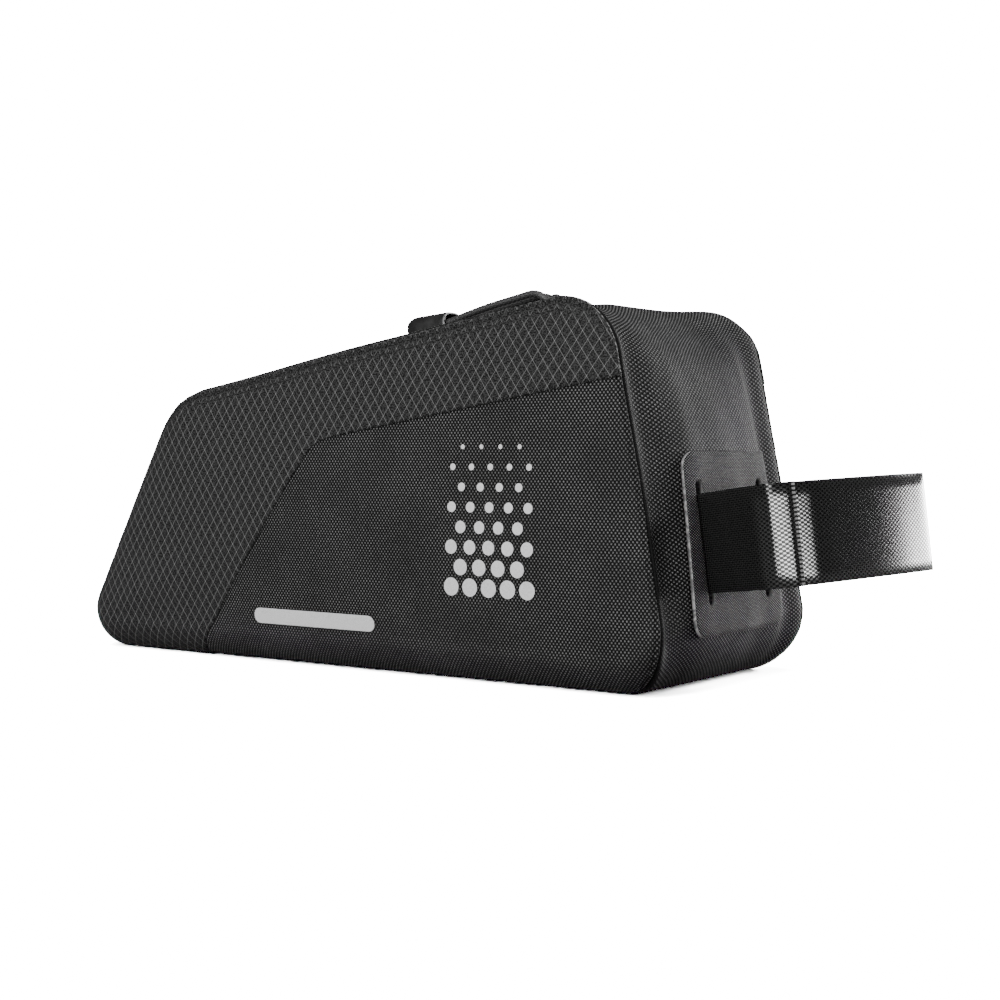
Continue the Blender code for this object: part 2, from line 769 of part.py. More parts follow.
def make_strap(parts, webbing):
    """The hook-and-loop strap: one ribbon whose end laps under its tab."""
    frame = strap_frame()
    half = STRAP_WIDTH / 2
    bm = bmesh.new()
    rows = []
    for point in spline(strap_route(), ROUTE_STEPS):
        rows.append([bm.verts.new(frame @ Vector((*point, h))) for h in (-half, half)])
    for (low, high), (next_low, next_high) in zip(rows, rows[1:]):
        bm.faces.new((low, next_low, next_high, high))
    strap = add_object("strap", bm, parts, webbing)
    add_solidify(strap, STRAP_THICKNESS, 0.0)


def main():
    clear_scene()
    parts = new_collection("Top tube bag")
    cutters = new_collection("Cutters")
    woven = new_material("Woven nylon", (0.020, 0.020, 0.021), 0.72)
    ripstop = new_material("Ripstop nylon", (0.028, 0.028, 0.029), 0.66)
    twill = new_material("Twill nylon", (0.040, 0.040, 0.042), 0.70)
    webbing = new_material("Strap webbing", (0.015, 0.015, 0.016), 0.55)
    tape = new_material("Zip tape", (0.013, 0.013, 0.014), 0.75)
    coil = new_material("Zip coil", (0.010, 0.010, 0.011), 0.38)
    metal = new_material("Painted slider", (0.012, 0.012, 0.013), 0.34, 0.4)
    braid = new_material("Braided cord", (0.014, 0.014, 0.015), 0.62)
    moulded = new_material("Moulded cap", (0.010, 0.010, 0.011), 0.28)
    for side, word in ((-1, "right"), (1, "left")):
        make_side(side, word, parts, cutters, woven, ripstop)
    make_gusset(parts, cutters, woven)
    make_zip(parts, tape, coil)
    make_slider(parts, cutters, metal)
    make_pull_cord(parts, braid)
    make_pull_cap(parts, cutters, moulded)
    make_strap_patch(parts, cutters, twill)
    make_strap(parts, webbing)


main()
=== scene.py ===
# %% [markdown]
# # A top tube bag, dressed
# The bag stands on its flat base, with the strap that goes round the stem standing out from
# its tall end. The solids already hold the right sizes, so this lesson makes the cloth over
# them: every piece is modelled again in the same place, finely enough for seams, folds and
# weave, and stands for the solid that it covers. Lengths are metres, +X is the tall end and
# -Y the side that faces the camera.

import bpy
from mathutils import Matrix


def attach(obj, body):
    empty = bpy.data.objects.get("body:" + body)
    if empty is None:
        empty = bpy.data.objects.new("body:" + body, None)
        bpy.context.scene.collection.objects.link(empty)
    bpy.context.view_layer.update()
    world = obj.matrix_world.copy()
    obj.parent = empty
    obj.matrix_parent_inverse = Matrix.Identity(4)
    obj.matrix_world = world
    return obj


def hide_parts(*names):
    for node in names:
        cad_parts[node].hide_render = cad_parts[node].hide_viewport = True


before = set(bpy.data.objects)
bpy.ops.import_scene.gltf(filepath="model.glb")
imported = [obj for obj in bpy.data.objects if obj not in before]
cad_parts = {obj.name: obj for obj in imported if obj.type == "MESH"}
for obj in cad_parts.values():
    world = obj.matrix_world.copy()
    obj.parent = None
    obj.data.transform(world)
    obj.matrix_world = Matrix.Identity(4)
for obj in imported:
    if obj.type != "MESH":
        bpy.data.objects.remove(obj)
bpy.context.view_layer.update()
print("solids", sorted(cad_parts))

import math
from collections import namedtuple

import bmesh
import bpy
from mathutils import Matrix, Vector, noise
from mathutils.bvhtree import BVHTree

# %% [markdown]
# ## The camera
# The photo was taken a little above the middle of the bag, 36 degrees round from its side.
# The lens and the distance together give the bag's perspective, so both are kept as measured:
# the near end is clearly larger than the far one.

# %% Camera
CAMERA_AZIMUTH = math.radians(35.6)
CAMERA_DOWN = math.radians(1.64)
CAMERA_DISTANCE = 0.4687
CAMERA_ASIDE = 0.02274
CAMERA_AIM_HEIGHT = 0.04471
CAMERA_LENS_MM = 59.22

camera_back = Vector((
    math.sin(CAMERA_AZIMUTH) * math.cos(CAMERA_DOWN),
    -math.cos(CAMERA_AZIMUTH) * math.cos(CAMERA_DOWN),
    math.sin(CAMERA_DOWN),
))
camera_right = Vector((math.cos(CAMERA_AZIMUTH), math.sin(CAMERA_AZIMUTH), 0.0))
camera_data = bpy.data.cameras.new("camera")
camera_data.lens = CAMERA_LENS_MM
camera_data.sensor_width = 36.0
camera_data.clip_start = 0.01
camera = bpy.data.objects.new("camera", camera_data)
camera.location = (
    camera_right * CAMERA_ASIDE + Vector((0, 0, CAMERA_AIM_HEIGHT)) + camera_back * CAMERA_DISTANCE
)
camera.rotation_mode = "QUATERNION"
camera.rotation_quaternion = (-camera_back).to_track_quat("-Z", "Y")
bpy.context.scene.collection.objects.link(camera)
bpy.context.scene.camera = camera
print("camera at", [round(value, 4) for value in camera.location])

# %% [markdown]
# ## Small helpers
# Each piece is made in a bmesh and then turned into an object once. Doing that in one place
# keeps three habits: the object sits at the origin, its faces are smooth but break at real
# edges, and the solid that it stands for, if any, is hidden.

# %% From bmesh to piece
SHARP_ANGLE = math.radians(42)


def add_piece(name, bm, materials, slot, *nodes):
    mesh = bpy.data.meshes.new(name)
    bm.to_mesh(mesh)
    bm.free()
    for material in materials:
        mesh.materials.append(material)
    mesh.shade_smooth()
    mesh.set_sharp_from_angle(angle=SHARP_ANGLE)
    piece = bpy.data.objects.new(name, mesh)
    bpy.context.scene.collection.objects.link(piece)
    if slot:
        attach(piece, "root")
    if nodes:
        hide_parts(*nodes)
    print(name, len(mesh.polygons), "faces")
    return piece


def thicken(piece, thickness, offset=-1.0, rim=0):
    """Gives an open sheet its wall, whose rim may have the next material."""
    solidify = piece.modifiers.new("Cloth thickness", "SOLIDIFY")
    solidify.thickness = thickness
    solidify.offset = offset
    solidify.use_even_offset = True
    solidify.material_offset_rim = rim


def apply_modifiers(piece):
    """Replaces the piece's mesh by what its modifiers make of it."""
    graph = bpy.context.evaluated_depsgraph_get()
    made = bpy.data.meshes.new_from_object(piece.evaluated_get(graph))
    piece.modifiers.clear()
    piece.data = made


def turn_out(bm, outwards):
    """Makes all faces agree, and turns them if the face that lies most outwards looks in."""
    bmesh.ops.recalc_face_normals(bm, faces=bm.faces)
    outermost = max(bm.faces, key=lambda face: face.calc_center_median().dot(outwards))
    if outermost.normal.dot(outwards) < 0:
        bmesh.ops.reverse_faces(bm, faces=bm.faces)


def smooth(share):
    share = min(max(share, 0.0), 1.0)
    return math.sin(0.5 * math.pi * share) ** 2


# %% [markdown]
# ## Shader nodes in a few words
# A procedural cloth is mostly arithmetic on coordinates. These helpers make one node each, so
# that a formula can be read on one line, and a node group is built once and then placed in
# every material that needs it.

# %% Node helpers
def math_node(tree, operation, *values, clamp=False):
    node = tree.nodes.new("ShaderNodeMath")
    node.operation = operation
    node.use_clamp = clamp
    for socket, value in zip(node.inputs, values):
        connect(tree, value, socket)
    return node.outputs[0]


def connect(tree, value, socket):
    if isinstance(value, bpy.types.NodeSocket):
        tree.links.new(value, socket)
    else:
        socket.default_value = value


def ramp(tree, value, low, high, first=0.0, last=1.0):
    """The value eased from first to last as it goes from low to high."""
    node = tree.nodes.new("ShaderNodeMapRange")
    node.interpolation_type = "SMOOTHSTEP"
    for name, amount in (("Value", value), ("From Min", low), ("From Max", high)):
        connect(tree, amount, node.inputs[name])
    connect(tree, first, node.inputs["To Min"])
    connect(tree, last, node.inputs["To Max"])
    return node.outputs["Result"]


def mix_colour(tree, factor, first, last):
    node = tree.nodes.new("ShaderNodeMix")
    node.data_type = "RGBA"
    connect(tree, factor, node.inputs["Factor"])
    connect(tree, first, node.inputs[6])
    connect(tree, last, node.inputs[7])
    return node.outputs[2]


def grey(value):
    return (value, value, value, 1.0)


def noise_value(tree, vector, scale, detail):
    node = tree.nodes.new("ShaderNodeTexNoise")
    node.inputs["Scale"].default_value = scale
    node.inputs["Detail"].default_value = detail
    connect(tree, vector, node.inputs["Vector"])
    return node.outputs["Fac"]


def new_group(name, inputs, outputs):
    """An empty node group with float sockets, apart from Vector, and its two end nodes."""
    tree = bpy.data.node_groups.new(name, "ShaderNodeTree")
    for title in inputs:
        kind = "NodeSocketVector" if title == "Vector" else "NodeSocketFloat"
        tree.interface.new_socket(title, in_out="INPUT", socket_type=kind)
    for title in outputs:
        tree.interface.new_socket(title, in_out="OUTPUT", socket_type="NodeSocketFloat")
    return tree, tree.nodes.new("NodeGroupInput"), tree.nodes.new("NodeGroupOutput")


def place_group(tree, group, **values):
    node = tree.nodes.new("ShaderNodeGroup")
    node.node_tree = group
    for title, value in values.items():
        connect(tree, value, node.inputs[title])
    return node


# %% [markdown]
# ## Plain weave
# The panels and the gusset are a coarse nylon in plain weave: each yarn goes over one and
# under one, so the light catches staggered rows of short dots. The product of two cosines has
# exactly that staggered lattice, and raising it makes the dots small on a dark ground. The
# coordinates are metres on the cloth, bent a little by noise because yarns wander.

# %% The weave group
def weave_group():
    tree, start, end = new_group(
        "Plain weave",
        ("Vector", "Along Pitch", "Across Pitch", "Widen", "Wander", "Dot Size"),
        ("Dots", "Height"),
    )
    bent = tree.nodes.new("ShaderNodeTexNoise")
    bent.inputs["Scale"].default_value = 260.0
    bent.inputs["Detail"].default_value = 1.0
    tree.links.new(start.outputs["Vector"], bent.inputs["Vector"])
    apart = tree.nodes.new("ShaderNodeSeparateXYZ")
    tree.links.new(start.outputs["Vector"], apart.inputs[0])
    waves = []
    shift = tree.nodes.new("ShaderNodeSeparateColor")
    tree.links.new(bent.outputs["Color"], shift.inputs[0])
    for i, title in enumerate(("Along Pitch", "Across Pitch")):
        away = math_node(tree, "SUBTRACT", shift.outputs[i], 0.5)
        moved = math_node(
            tree, "MULTIPLY_ADD", away, start.outputs["Wander"], apart.outputs[i]
        )
        turns = math_node(tree, "DIVIDE", moved, start.outputs[title])
        waves.append(math_node(tree, "COSINE", math_node(tree, "MULTIPLY", turns, 2 * math.pi)))
    widened = math_node(tree, "MULTIPLY", waves[0], start.outputs["Widen"])
    flat_topped = math_node(tree, "MAXIMUM", math_node(tree, "MINIMUM", widened, 1.0), -1.0)
    product = math_node(tree, "MULTIPLY", flat_topped, waves[1])
    height = math_node(tree, "MULTIPLY_ADD", product, 0.5, 0.5)
    dots = ramp(tree, height, math_node(tree, "SUBTRACT", 1.0, start.outputs["Dot Size"]), 1.0)
    tree.links.new(dots, end.inputs["Dots"])
    tree.links.new(height, end.inputs["Height"])
    return tree


WEAVE = weave_group()
print("group", WEAVE.name)

# %% [markdown]
# ## Diamond ripstop
# The yoke is a thinner cloth with a grid of stronger threads laid in diamonds. Each family of
# threads is a set of lines: the distance to the nearest whole number, small where a thread
# runs. Where two threads cross the cloth is thickest, and a crossing catches the most light.

# %% The ripstop group
def ripstop_group():
    tree, start, end = new_group(
        "Diamond ripstop",
        ("Vector", "Diamond Width", "Diamond Height", "Thread"),
        ("Threads", "Crossings"),
    )
    apart = tree.nodes.new("ShaderNodeSeparateXYZ")
    tree.links.new(start.outputs["Vector"], apart.inputs[0])
    across = math_node(tree, "DIVIDE", apart.outputs[0], start.outputs["Diamond Width"])
    upward = math_node(tree, "DIVIDE", apart.outputs[1], start.outputs["Diamond Height"])
    threads = []
    for operation in ("ADD", "SUBTRACT"):
        place = math_node(tree, operation, across, upward)
        away = math_node(tree, "PINGPONG", place, 0.5)
        threads.append(ramp(tree, away, 0.0, start.outputs["Thread"], 1.0, 0.0))
    either = math_node(tree, "MAXIMUM", *threads)
    both = math_node(tree, "MULTIPLY", *threads)
    tree.links.new(either, end.inputs["Threads"])
    tree.links.new(both, end.inputs["Crossings"])
    return tree


RIPSTOP = ripstop_group()
print("group", RIPSTOP.name)

# %% [markdown]
# ## Unevenness
# No cloth has one tone. A slow noise makes broad lighter and darker areas, and a fine one the
# speckle of single filaments. Both come out of one group, so each cloth can take its share.

# %% The unevenness group
def unevenness_group():
    tree, start, end = new_group("Unevenness", ("Vector",), ("Broad", "Speckle"))
    for title, scale in (("Broad", 45.0), ("Speckle", 2600.0)):
        value = noise_value(tree, start.outputs["Vector"], scale, 3.0)
        tree.links.new(ramp(tree, value, 0.3, 0.7), end.inputs[title])
    return tree


UNEVENNESS = unevenness_group()


def new_material(name, roughness, sheen=0.0, specular=0.5):
    """A material's tree and shader, with what is the same all over set on the shader itself."""
    material = bpy.data.materials.new(name)
    material.use_nodes = True
    tree = material.node_tree
    shader = tree.nodes["Principled BSDF"]
    shader.inputs["Roughness"].default_value = roughness
    shader.inputs["Sheen Weight"].default_value = sheen
    shader.inputs["Specular IOR Level"].default_value = specular
    return material, tree, shader


def uv_vector(tree):
    return tree.nodes.new("ShaderNodeTexCoord").outputs["UV"]


def add_bump(tree, shader, height, distance, strength):
    bump = tree.nodes.new("ShaderNodeBump")
    bump.inputs["Distance"].default_value = distance
    bump.inputs["Strength"].default_value = strength
    connect(tree, height, bump.inputs["Height"])
    tree.links.new(bump.outputs["Normal"], shader.inputs["Normal"])


# %% [markdown]
# ## The cloths
# The woven nylon of the panels is near black with light dots. The pitch was measured on the
# photo: 1.03 mm from dot to dot along the bag and 1.33 mm up it. The gusset and the patch are
# the same weave at other pitches, and the gusset has a dark strip of painted shade beside its seam.

# %% Woven nylon
DOT_ALONG = 0.00103
DOT_ACROSS = 0.00133
YARN_WANDER = 0.00022
YARN_WIDEN = 1.7
FAINTEST_YARN = 0.45
DARK_AREA = 0.80
LIGHT_AREA = 1.15
# The gusset's painted seam shade: how far it fades out, and its grey.
SEAM_SHADE_FADE = 1.4
SEAM_SHADE_GREY = 0.005


def attribute(tree, name):
    node = tree.nodes.new("ShaderNodeAttribute")
    node.attribute_name = name
    return node.outputs["Fac"]


def woven_nylon(name, along, across, ground, dot, dot_size, margin=0.0):
    material, tree, shader = new_material(name, 0.62, sheen=0.01, specular=0.05)
    vector = uv_vector(tree)
    weave = place_group(
        tree, WEAVE, Vector=vector, **{
            "Along Pitch": along, "Across Pitch": across, "Widen": YARN_WIDEN,
            "Wander": YARN_WANDER, "Dot Size": dot_size,
        }
    )
    uneven = place_group(tree, UNEVENNESS, Vector=vector)
    filaments = ramp(tree, uneven.outputs["Speckle"], 0, 1, FAINTEST_YARN, 1)
    strength = math_node(tree, "MULTIPLY", weave.outputs["Dots"], filaments)
    dark, light = grey(dot * DARK_AREA), grey(dot * LIGHT_AREA)
    dots = mix_colour(tree, uneven.outputs["Broad"], dark, light)
    woven = mix_colour(tree, strength, grey(ground), dots)
    # With a margin, a dark strip of painted shade is laid along the seam.
    if margin:
        seam_shade = ramp(tree, attribute(tree, "seam"), margin, margin * SEAM_SHADE_FADE, 1.0, 0.0)
        woven = mix_colour(tree, seam_shade, woven, grey(SEAM_SHADE_GREY))
    tree.links.new(woven, shader.inputs["Base Color"])
    add_bump(tree, shader, weave.outputs["Height"], 0.00012, 0.8)
    return material


NYLON = woven_nylon("Woven nylon", DOT_ALONG, DOT_ACROSS, ground=0.003, dot=0.19, dot_size=0.46)
# The gusset gets 1.3 mm of painted shade beside its seam.
GUSSET_NYLON = woven_nylon(
    "Gusset nylon", 0.00110, 0.00156, ground=0.002, dot=0.24, dot_size=0.42, margin=0.0013
)
PATCH_TWILL = woven_nylon("Patch twill", 0.00100, 0.00067, ground=0.002, dot=0.31, dot_size=0.38)

# %% [markdown]
# The yoke's threads are lighter than its ground where the side faces out, and painted dark,
# as painted shade, where it turns up into the seam. The mesh carries that as a number on its
# points, called rim.

# %% Ripstop nylon
DIAMOND_WIDTH = 0.00311
DIAMOND_HEIGHT = 0.00437
THREAD_SHARE = 0.055
GROUND_GREYS = (0.003, 0.044)
THREAD_GREY = 0.17
CROSSING_GREY = 0.42
# The grey of the threads' painted shade where the side turns up into the seam.
SHADED_THREAD_GREY = 0.001
FRAY_WIDTH = 0.00025
FRAY_END = 0.00045
FRAY_SCALE = 1100.0
FRAY_GREYS = (0.02, 0.20)


def ripstop_nylon():
    material, tree, shader = new_material("Ripstop nylon", 0.58, sheen=0.01, specular=0.05)
    vector = uv_vector(tree)
    rim = attribute(tree, "rim")
    ripstop = place_group(
        tree, RIPSTOP, Vector=vector, **{
            "Diamond Width": DIAMOND_WIDTH, "Diamond Height": DIAMOND_HEIGHT,
            "Thread": ramp(tree, rim, 0.0, 1.0, THREAD_SHARE, 2 * THREAD_SHARE),
        }
    )
    uneven = place_group(tree, UNEVENNESS, Vector=vector)
    speckle = ramp(tree, uneven.outputs["Speckle"], 0.36, 0.64)
    ground = mix_colour(tree, speckle, *(grey(value) for value in GROUND_GREYS))
    crossings = ripstop.outputs["Crossings"]
    light = mix_colour(tree, crossings, grey(THREAD_GREY), grey(CROSSING_GREY))
    # Where the side turns up into the seam, the threads are painted near black: painted shade.
    thread = mix_colour(tree, rim, light, grey(SHADED_THREAD_GREY))
    woven = mix_colour(tree, ripstop.outputs["Threads"], ground, thread)
    at_seam = ramp(tree, attribute(tree, "seam"), FRAY_WIDTH, FRAY_END, 1.0, 0.0)
    frays = ramp(tree, noise_value(tree, vector, FRAY_SCALE, 1.0), 0.44, 0.56)
    fray = mix_colour(tree, frays, *(grey(value) for value in FRAY_GREYS))
    tree.links.new(mix_colour(tree, at_seam, woven, fray), shader.inputs["Base Color"])
    height = math_node(
        tree, "MULTIPLY_ADD", uneven.outputs["Speckle"], 0.3, ripstop.outputs["Threads"]
    )
    add_bump(tree, shader, height, 0.00010, 0.7)
    return material


def cut_edge():
    """The cut edge of a coated cloth: pale frayed bits on black."""
    material, tree, shader = new_material("Cut edge", 0.7)
    vector = tree.nodes.new("ShaderNodeTexCoord").outputs["Object"]
    fray = ramp(tree, noise_value(tree, vector, 900.0, 2.0), 0.42, 0.60)
    tree.links.new(mix_colour(tree, fray, grey(0.10), grey(0.30)), shader.inputs["Base Color"])
    return material


RIPSTOP_NYLON = ripstop_nylon()
CUT_EDGE = cut_edge()
print("cloths", [material.name for material in bpy.data.materials if material.use_nodes])

# %% [markdown]
# ## The outline that everything follows
# Seen from the side the bag is a long wedge with four rounded corners. Every piece of cloth is
# sewn to that line, so it is worked out first, as stations: a place, the way out, how much each
# of the four edges counts there, and the run along the line. The soft cloth has slumped, so the
# near seam, the middle and the far seam have slightly different lines, and the same number of
# stations lets a row of cloth go from one line to the next.

# %% Body sizes
BASE_LENGTH = 0.2125
TALL_HEIGHT = 0.0993
SHORT_HEIGHT = 0.0752
TALL_LEAN = math.radians(10.3)
SHORT_LEAN = math.radians(27.8)
CORNER_RADII = (0.0115, 0.0157, 0.0180, 0.0268)
FAR_CORNER_RADII = (0.0115, 0.0157, 0.0165, 0.0268)
TOP_BOW = 0.0012
BASE_WIDTH = 0.0765
TOP_WIDTH = 0.0697
SIDE_CROWN = 0.0016
SIDE_ROUNDING = 0.010
GUSSET_CROWN = 0.0018
SEAM_GROOVE = 0.0020
TALL_BELLY = 0.0040
TALL_TOP_SAG = 0.0035
WALL = 0.0018
CORNER_STEPS = 14
STRAIGHT_STEPS = (75, 28, 48, 14)

Point = namedtuple("Point", "x z")
Station = namedtuple("Station", "x z nx nz shares run")
EdgeForm = namedtuple("EdgeForm", "rounding turn step groove rise reach")
EDGE_FORMS = (
    EdgeForm(rounding=1.00, turn=78, step=0.00, groove=0.0, rise=0.00, reach=0.30),
    EdgeForm(rounding=0.45, turn=45, step=0.45, groove=0.7, rise=-1.70, reach=0.62),
    EdgeForm(rounding=0.55, turn=43, step=0.25, groove=0.0, rise=1.00, reach=0.60),
    EdgeForm(rounding=0.85, turn=60, step=0.25, groove=0.0, rise=0.20, reach=0.60),
)
EDGE_NAMES = ("base", "tall", "top", "short")
TALL_EDGE = EDGE_NAMES.index("tall")
TOP_EDGE = EDGE_NAMES.index("top")

print("edges", EDGE_NAMES)

# %% [markdown]
# A rounded corner is an arc that touches both its edges. Walking round the four arcs and the
# straight runs between them gives the stations, set closer where the line bends.

# %% Corners and stations
def body_corners():
    half = BASE_LENGTH / 2
    return (
        Point(-half, 0.0),
        Point(half, 0.0),
        Point(half - math.tan(TALL_LEAN) * TALL_HEIGHT, TALL_HEIGHT),
        Point(-half + math.tan(SHORT_LEAN) * SHORT_HEIGHT, SHORT_HEIGHT),
    )


def corner_arc(i, radius):
    """Centre, first angle and turn of the arc that rounds a corner."""
    corners = body_corners()
    before, corner, after = corners[i - 1], corners[i], corners[(i + 1) % 4]
    into = Vector((corner.x - before.x, corner.z - before.z)).normalized()
    out = Vector((after.x - corner.x, after.z - corner.z)).normalized()
    turn = math.atan2(into.x * out.y - into.y * out.x, into.dot(out))
    reach = radius * math.tan(turn / 2)
    centre = Vector((
        corner.x - into.x * reach - into.y * radius, corner.z - into.y * reach + into.x * radius
    ))
    return centre, math.atan2(-into.x, into.y), turn


def body_stations(radii):
    """The outline's stations for four corner radii, always the same number of them."""
    places = []
    for i, radius in enumerate(radii):
        centre, first, turn = corner_arc(i, radius)
        for step in range(CORNER_STEPS + 1):
            angle = first + turn * step / CORNER_STEPS
            blend = smooth(step / CORNER_STEPS)
            shares = [0.0] * 4
            shares[i - 1] = 1 - blend
            shares[i] += blend
            way = Vector((math.cos(angle), math.sin(angle)))
            places.append((centre + way * radius, way, tuple(shares)))
        place, way, shares = places[-1]
        far = (i + 1) % 4
        far_centre, far_first, _ = corner_arc(far, radii[far])
        end = far_centre + Vector((math.cos(far_first), math.sin(far_first))) * radii[far]
        for step in range(1, STRAIGHT_STEPS[i]):
            share = step / STRAIGHT_STEPS[i]
            bow = TOP_BOW * math.sin(math.pi * share) ** 2 if i == TOP_EDGE else 0.0
            places.append((place + (end - place) * share + way * bow, way, shares))
    stations, run = [], 0.0
    for i, (place, way, shares) in enumerate(places):
        run += (place - places[i - 1][0]).length if i else 0.0
        stations.append(Station(*place, *way, shares, run))
    return stations


# %% [markdown]
# Three lines are needed. The middle one is the plain outline, the far one has a tighter top
# corner, and the near one is the middle one drawn back at the tall end and a little raised
# over the top's last half, as the photo shows it.

# %% The three lines
SET_BACK_FOOT = 0.0019
SET_BACK_TOP = 0.0032
SET_BACK_FROM = 0.21 * BASE_LENGTH
SET_BACK_REACH = 0.14 * BASE_LENGTH
UPPER_FROM = 0.45
UPPER_REACH = 0.40
SHOULDER_LIFT = 0.0013
SHOULDER_FROM = 0.05 * BASE_LENGTH
SHOULDER_REACH = 0.22 * BASE_LENGTH


def set_back(station):
    """The station moved towards the short end, and raised over the top's last half, as the
    near seam is drawn in there."""
    higher = smooth((station.z / TALL_HEIGHT - UPPER_FROM) / UPPER_REACH)
    back = SET_BACK_FOOT + (SET_BACK_TOP - SET_BACK_FOOT) * higher
    share = smooth((station.x - SET_BACK_FROM) / SET_BACK_REACH)
    raised = station.shares[TOP_EDGE] * smooth((station.x - SHOULDER_FROM) / SHOULDER_REACH)
    return station._replace(x=station.x - back * share, z=station.z + SHOULDER_LIFT * raised)


MIDDLE_STATIONS = body_stations(CORNER_RADII)
STATIONS = [set_back(station) for station in MIDDLE_STATIONS]
FAR_STATIONS = body_stations(FAR_CORNER_RADII)
PERIMETER = STATIONS[-1].run + math.hypot(
    STATIONS[0].x - STATIONS[-1].x, STATIONS[0].z - STATIONS[-1].z
)


def form_at(shares):
    return EdgeForm(
        *(sum(share * value for share, value in zip(shares, column)) for column in zip(*EDGE_FORMS))
    )


def half_width(z):
    return (BASE_WIDTH - (BASE_WIDTH - TOP_WIDTH) * z / TALL_HEIGHT) / 2


def placed(station, outward, across):
    return Vector((station.x + station.nx * outward, across, station.z + station.nz * outward))


print(len(STATIONS), "stations round", round(PERIMETER * 1000), "mm")

# %% [markdown]
# ## Lofting by extrusion
# A row of cloth is a closed ring of edges. Extruding the ring's edges makes the next row of
# faces, and moving the new points puts that row in its place. A number on each point remembers
# its station, because an extruded point inherits the numbers of the one it came from.

# %% Rows of cloth
def numbered_ring(bm, sides, cap_ends=False):
    """A circle whose points carry their numbers: that layer, the points and the edges."""
    index = bm.verts.layers.int.new("number")
    ring = bmesh.ops.create_circle(bm, segments=sides, radius=1.0, cap_ends=cap_ends)["verts"]
    for i, vert in enumerate(ring):
        vert[index] = i
    return index, ring, list(bm.edges)


def next_ring(bm, edges):
    """Extrudes a row of edges: the new points and the new edges between them."""
    made = bmesh.ops.extrude_edge_only(bm, edges=edges)["geom"]
    ring = [item for item in made if isinstance(item, bmesh.types.BMVert)]
    points = set(ring)
    new_edges = [
        item for item in made
        if isinstance(item, bmesh.types.BMEdge) and points.issuperset(item.verts)
    ]
    return ring, new_edges


def rows_of_cloth(rows, close_last):
    """A sheet from rows of (place, u, v, seam distance), one for each station. The flat
    measure is kept for the UV map and the distance for the material."""
    bm = bmesh.new()
    seam = bm.verts.layers.float.new("seam")
    flat = bm.verts.layers.float_vector.new("flat")
    index, ring, edges = numbered_ring(bm, len(STATIONS))
    for number, row in enumerate(rows):
        if number:
            ring, edges = next_ring(bm, edges)
        for vert in ring:
            place, u, v, vert[seam] = row[vert[index]]
            vert.co = place
            vert[flat] = (u, v, 0.0)
    if close_last:
        bmesh.ops.contextual_create(bm, geom=edges)
    return bm


def unwrap(bm, wrap=0.0):
    """Writes the flat measure to the UV map, stepping over the place where the ring closes."""
    flat = bm.verts.layers.float_vector["flat"]
    uv = bm.loops.layers.uv.new("UVMap")
    for face in bm.faces:
        highest = max(loop.vert[flat].x for loop in face.loops)
        for loop in face.loops:
            u, v, _ = loop.vert[flat]
            if wrap and highest - u > wrap / 2:
                u += wrap
            loop[uv].uv = (u, v)


# %% [markdown]
# ## The sides
# A side is nearly flat, with a soft crown, and rolls round into the seam. The roll is tight
# along the top and the tall end and full along the base. Close to the seam the cloth is
# pressed flat where it was welded: a narrow lip, then a groove. So the rows are set close
# there and wide apart in the field.

# %% The side's surface
RimRow = namedtuple("RimRow", "distance depth")
RIM_ROWS = (
    RimRow(distance=0.00000, depth=0.00028),
    RimRow(distance=0.00020, depth=0.00006),
    RimRow(distance=0.00045, depth=0.00000),
    RimRow(distance=0.00080, depth=0.00000),
    RimRow(distance=0.00100, depth=0.00022),
    RimRow(distance=0.00120, depth=0.00026),
    RimRow(distance=0.00145, depth=0.00005),
    RimRow(distance=0.00175, depth=0.00000),
)
ARC_ROWS = 8
FIELD_ROWS = 22
FIELD_END = 0.95
PUCKER_DEPTH = 0.00016
PUCKER_PITCH = 0.0030
PUCKER_FADE = 0.0040
FIELD_WAVE = 0.00045
WAVES_ALONG = 28.0
WAVES_UP = 40.0
WAVES_APART = 3.0
WAVE_RISE = 3
PUCKER_END = 4
FIELD_CROWDING = 1.3
SPINE = ((-0.20 * BASE_LENGTH, 0.43 * SHORT_HEIGHT), (0.24 * BASE_LENGTH, 0.45 * TALL_HEIGHT))


def spine_point(x, z):
    first, last = (Vector(end) for end in SPINE)
    along = last - first
    share = (Vector((x, z)) - first).dot(along) / along.length_squared
    return first + along * min(max(share, 0.0), 1.0)


def pucker(run, distance):
    """Small gathers that run out of the seam and fade into the field."""
    gather = noise.noise(Vector((run / PUCKER_PITCH, 0.0, 0.0)))
    return PUCKER_DEPTH * gather * math.exp(-distance / PUCKER_FADE)


def side_arc_point(station, side, distance, depth, lift):
    form = form_at(station.shares)
    radius = SIDE_ROUNDING * form.rounding
    angle = math.radians(form.turn) - distance / radius
    reach = radius - depth + lift - pucker(station.run, distance)
    outward = reach * math.sin(angle) - radius
    across = half_width(station.z) - radius + reach * math.cos(angle)
    place = placed(station, outward, side * across)
    laid = radius * angle - radius
    return place, station.x + station.nx * laid, station.z + station.nz * laid, distance


def side_field_point(station, side, drawn_in, lift):
    radius = SIDE_ROUNDING * form_at(station.shares).rounding
    x, z = station.x - station.nx * radius, station.z - station.nz * radius
    spine = spine_point(x, z)
    x, z = x + (spine.x - x) * drawn_in, z + (spine.y - z) * drawn_in
    crown = SIDE_CROWN * (1 - (1 - drawn_in) ** 2)
    waves = noise.noise(Vector((x * WAVES_ALONG, side * WAVES_APART, z * WAVES_UP)))
    wave = FIELD_WAVE * waves * smooth(drawn_in * WAVE_RISE)
    edge = pucker(station.run, math.radians(form_at(station.shares).turn) * radius)
    across = half_width(z) + crown + wave + lift - edge * (1 - smooth(drawn_in * PUCKER_END))
    return Vector((x, side * across, z)), x, z, SIDE_ROUNDING


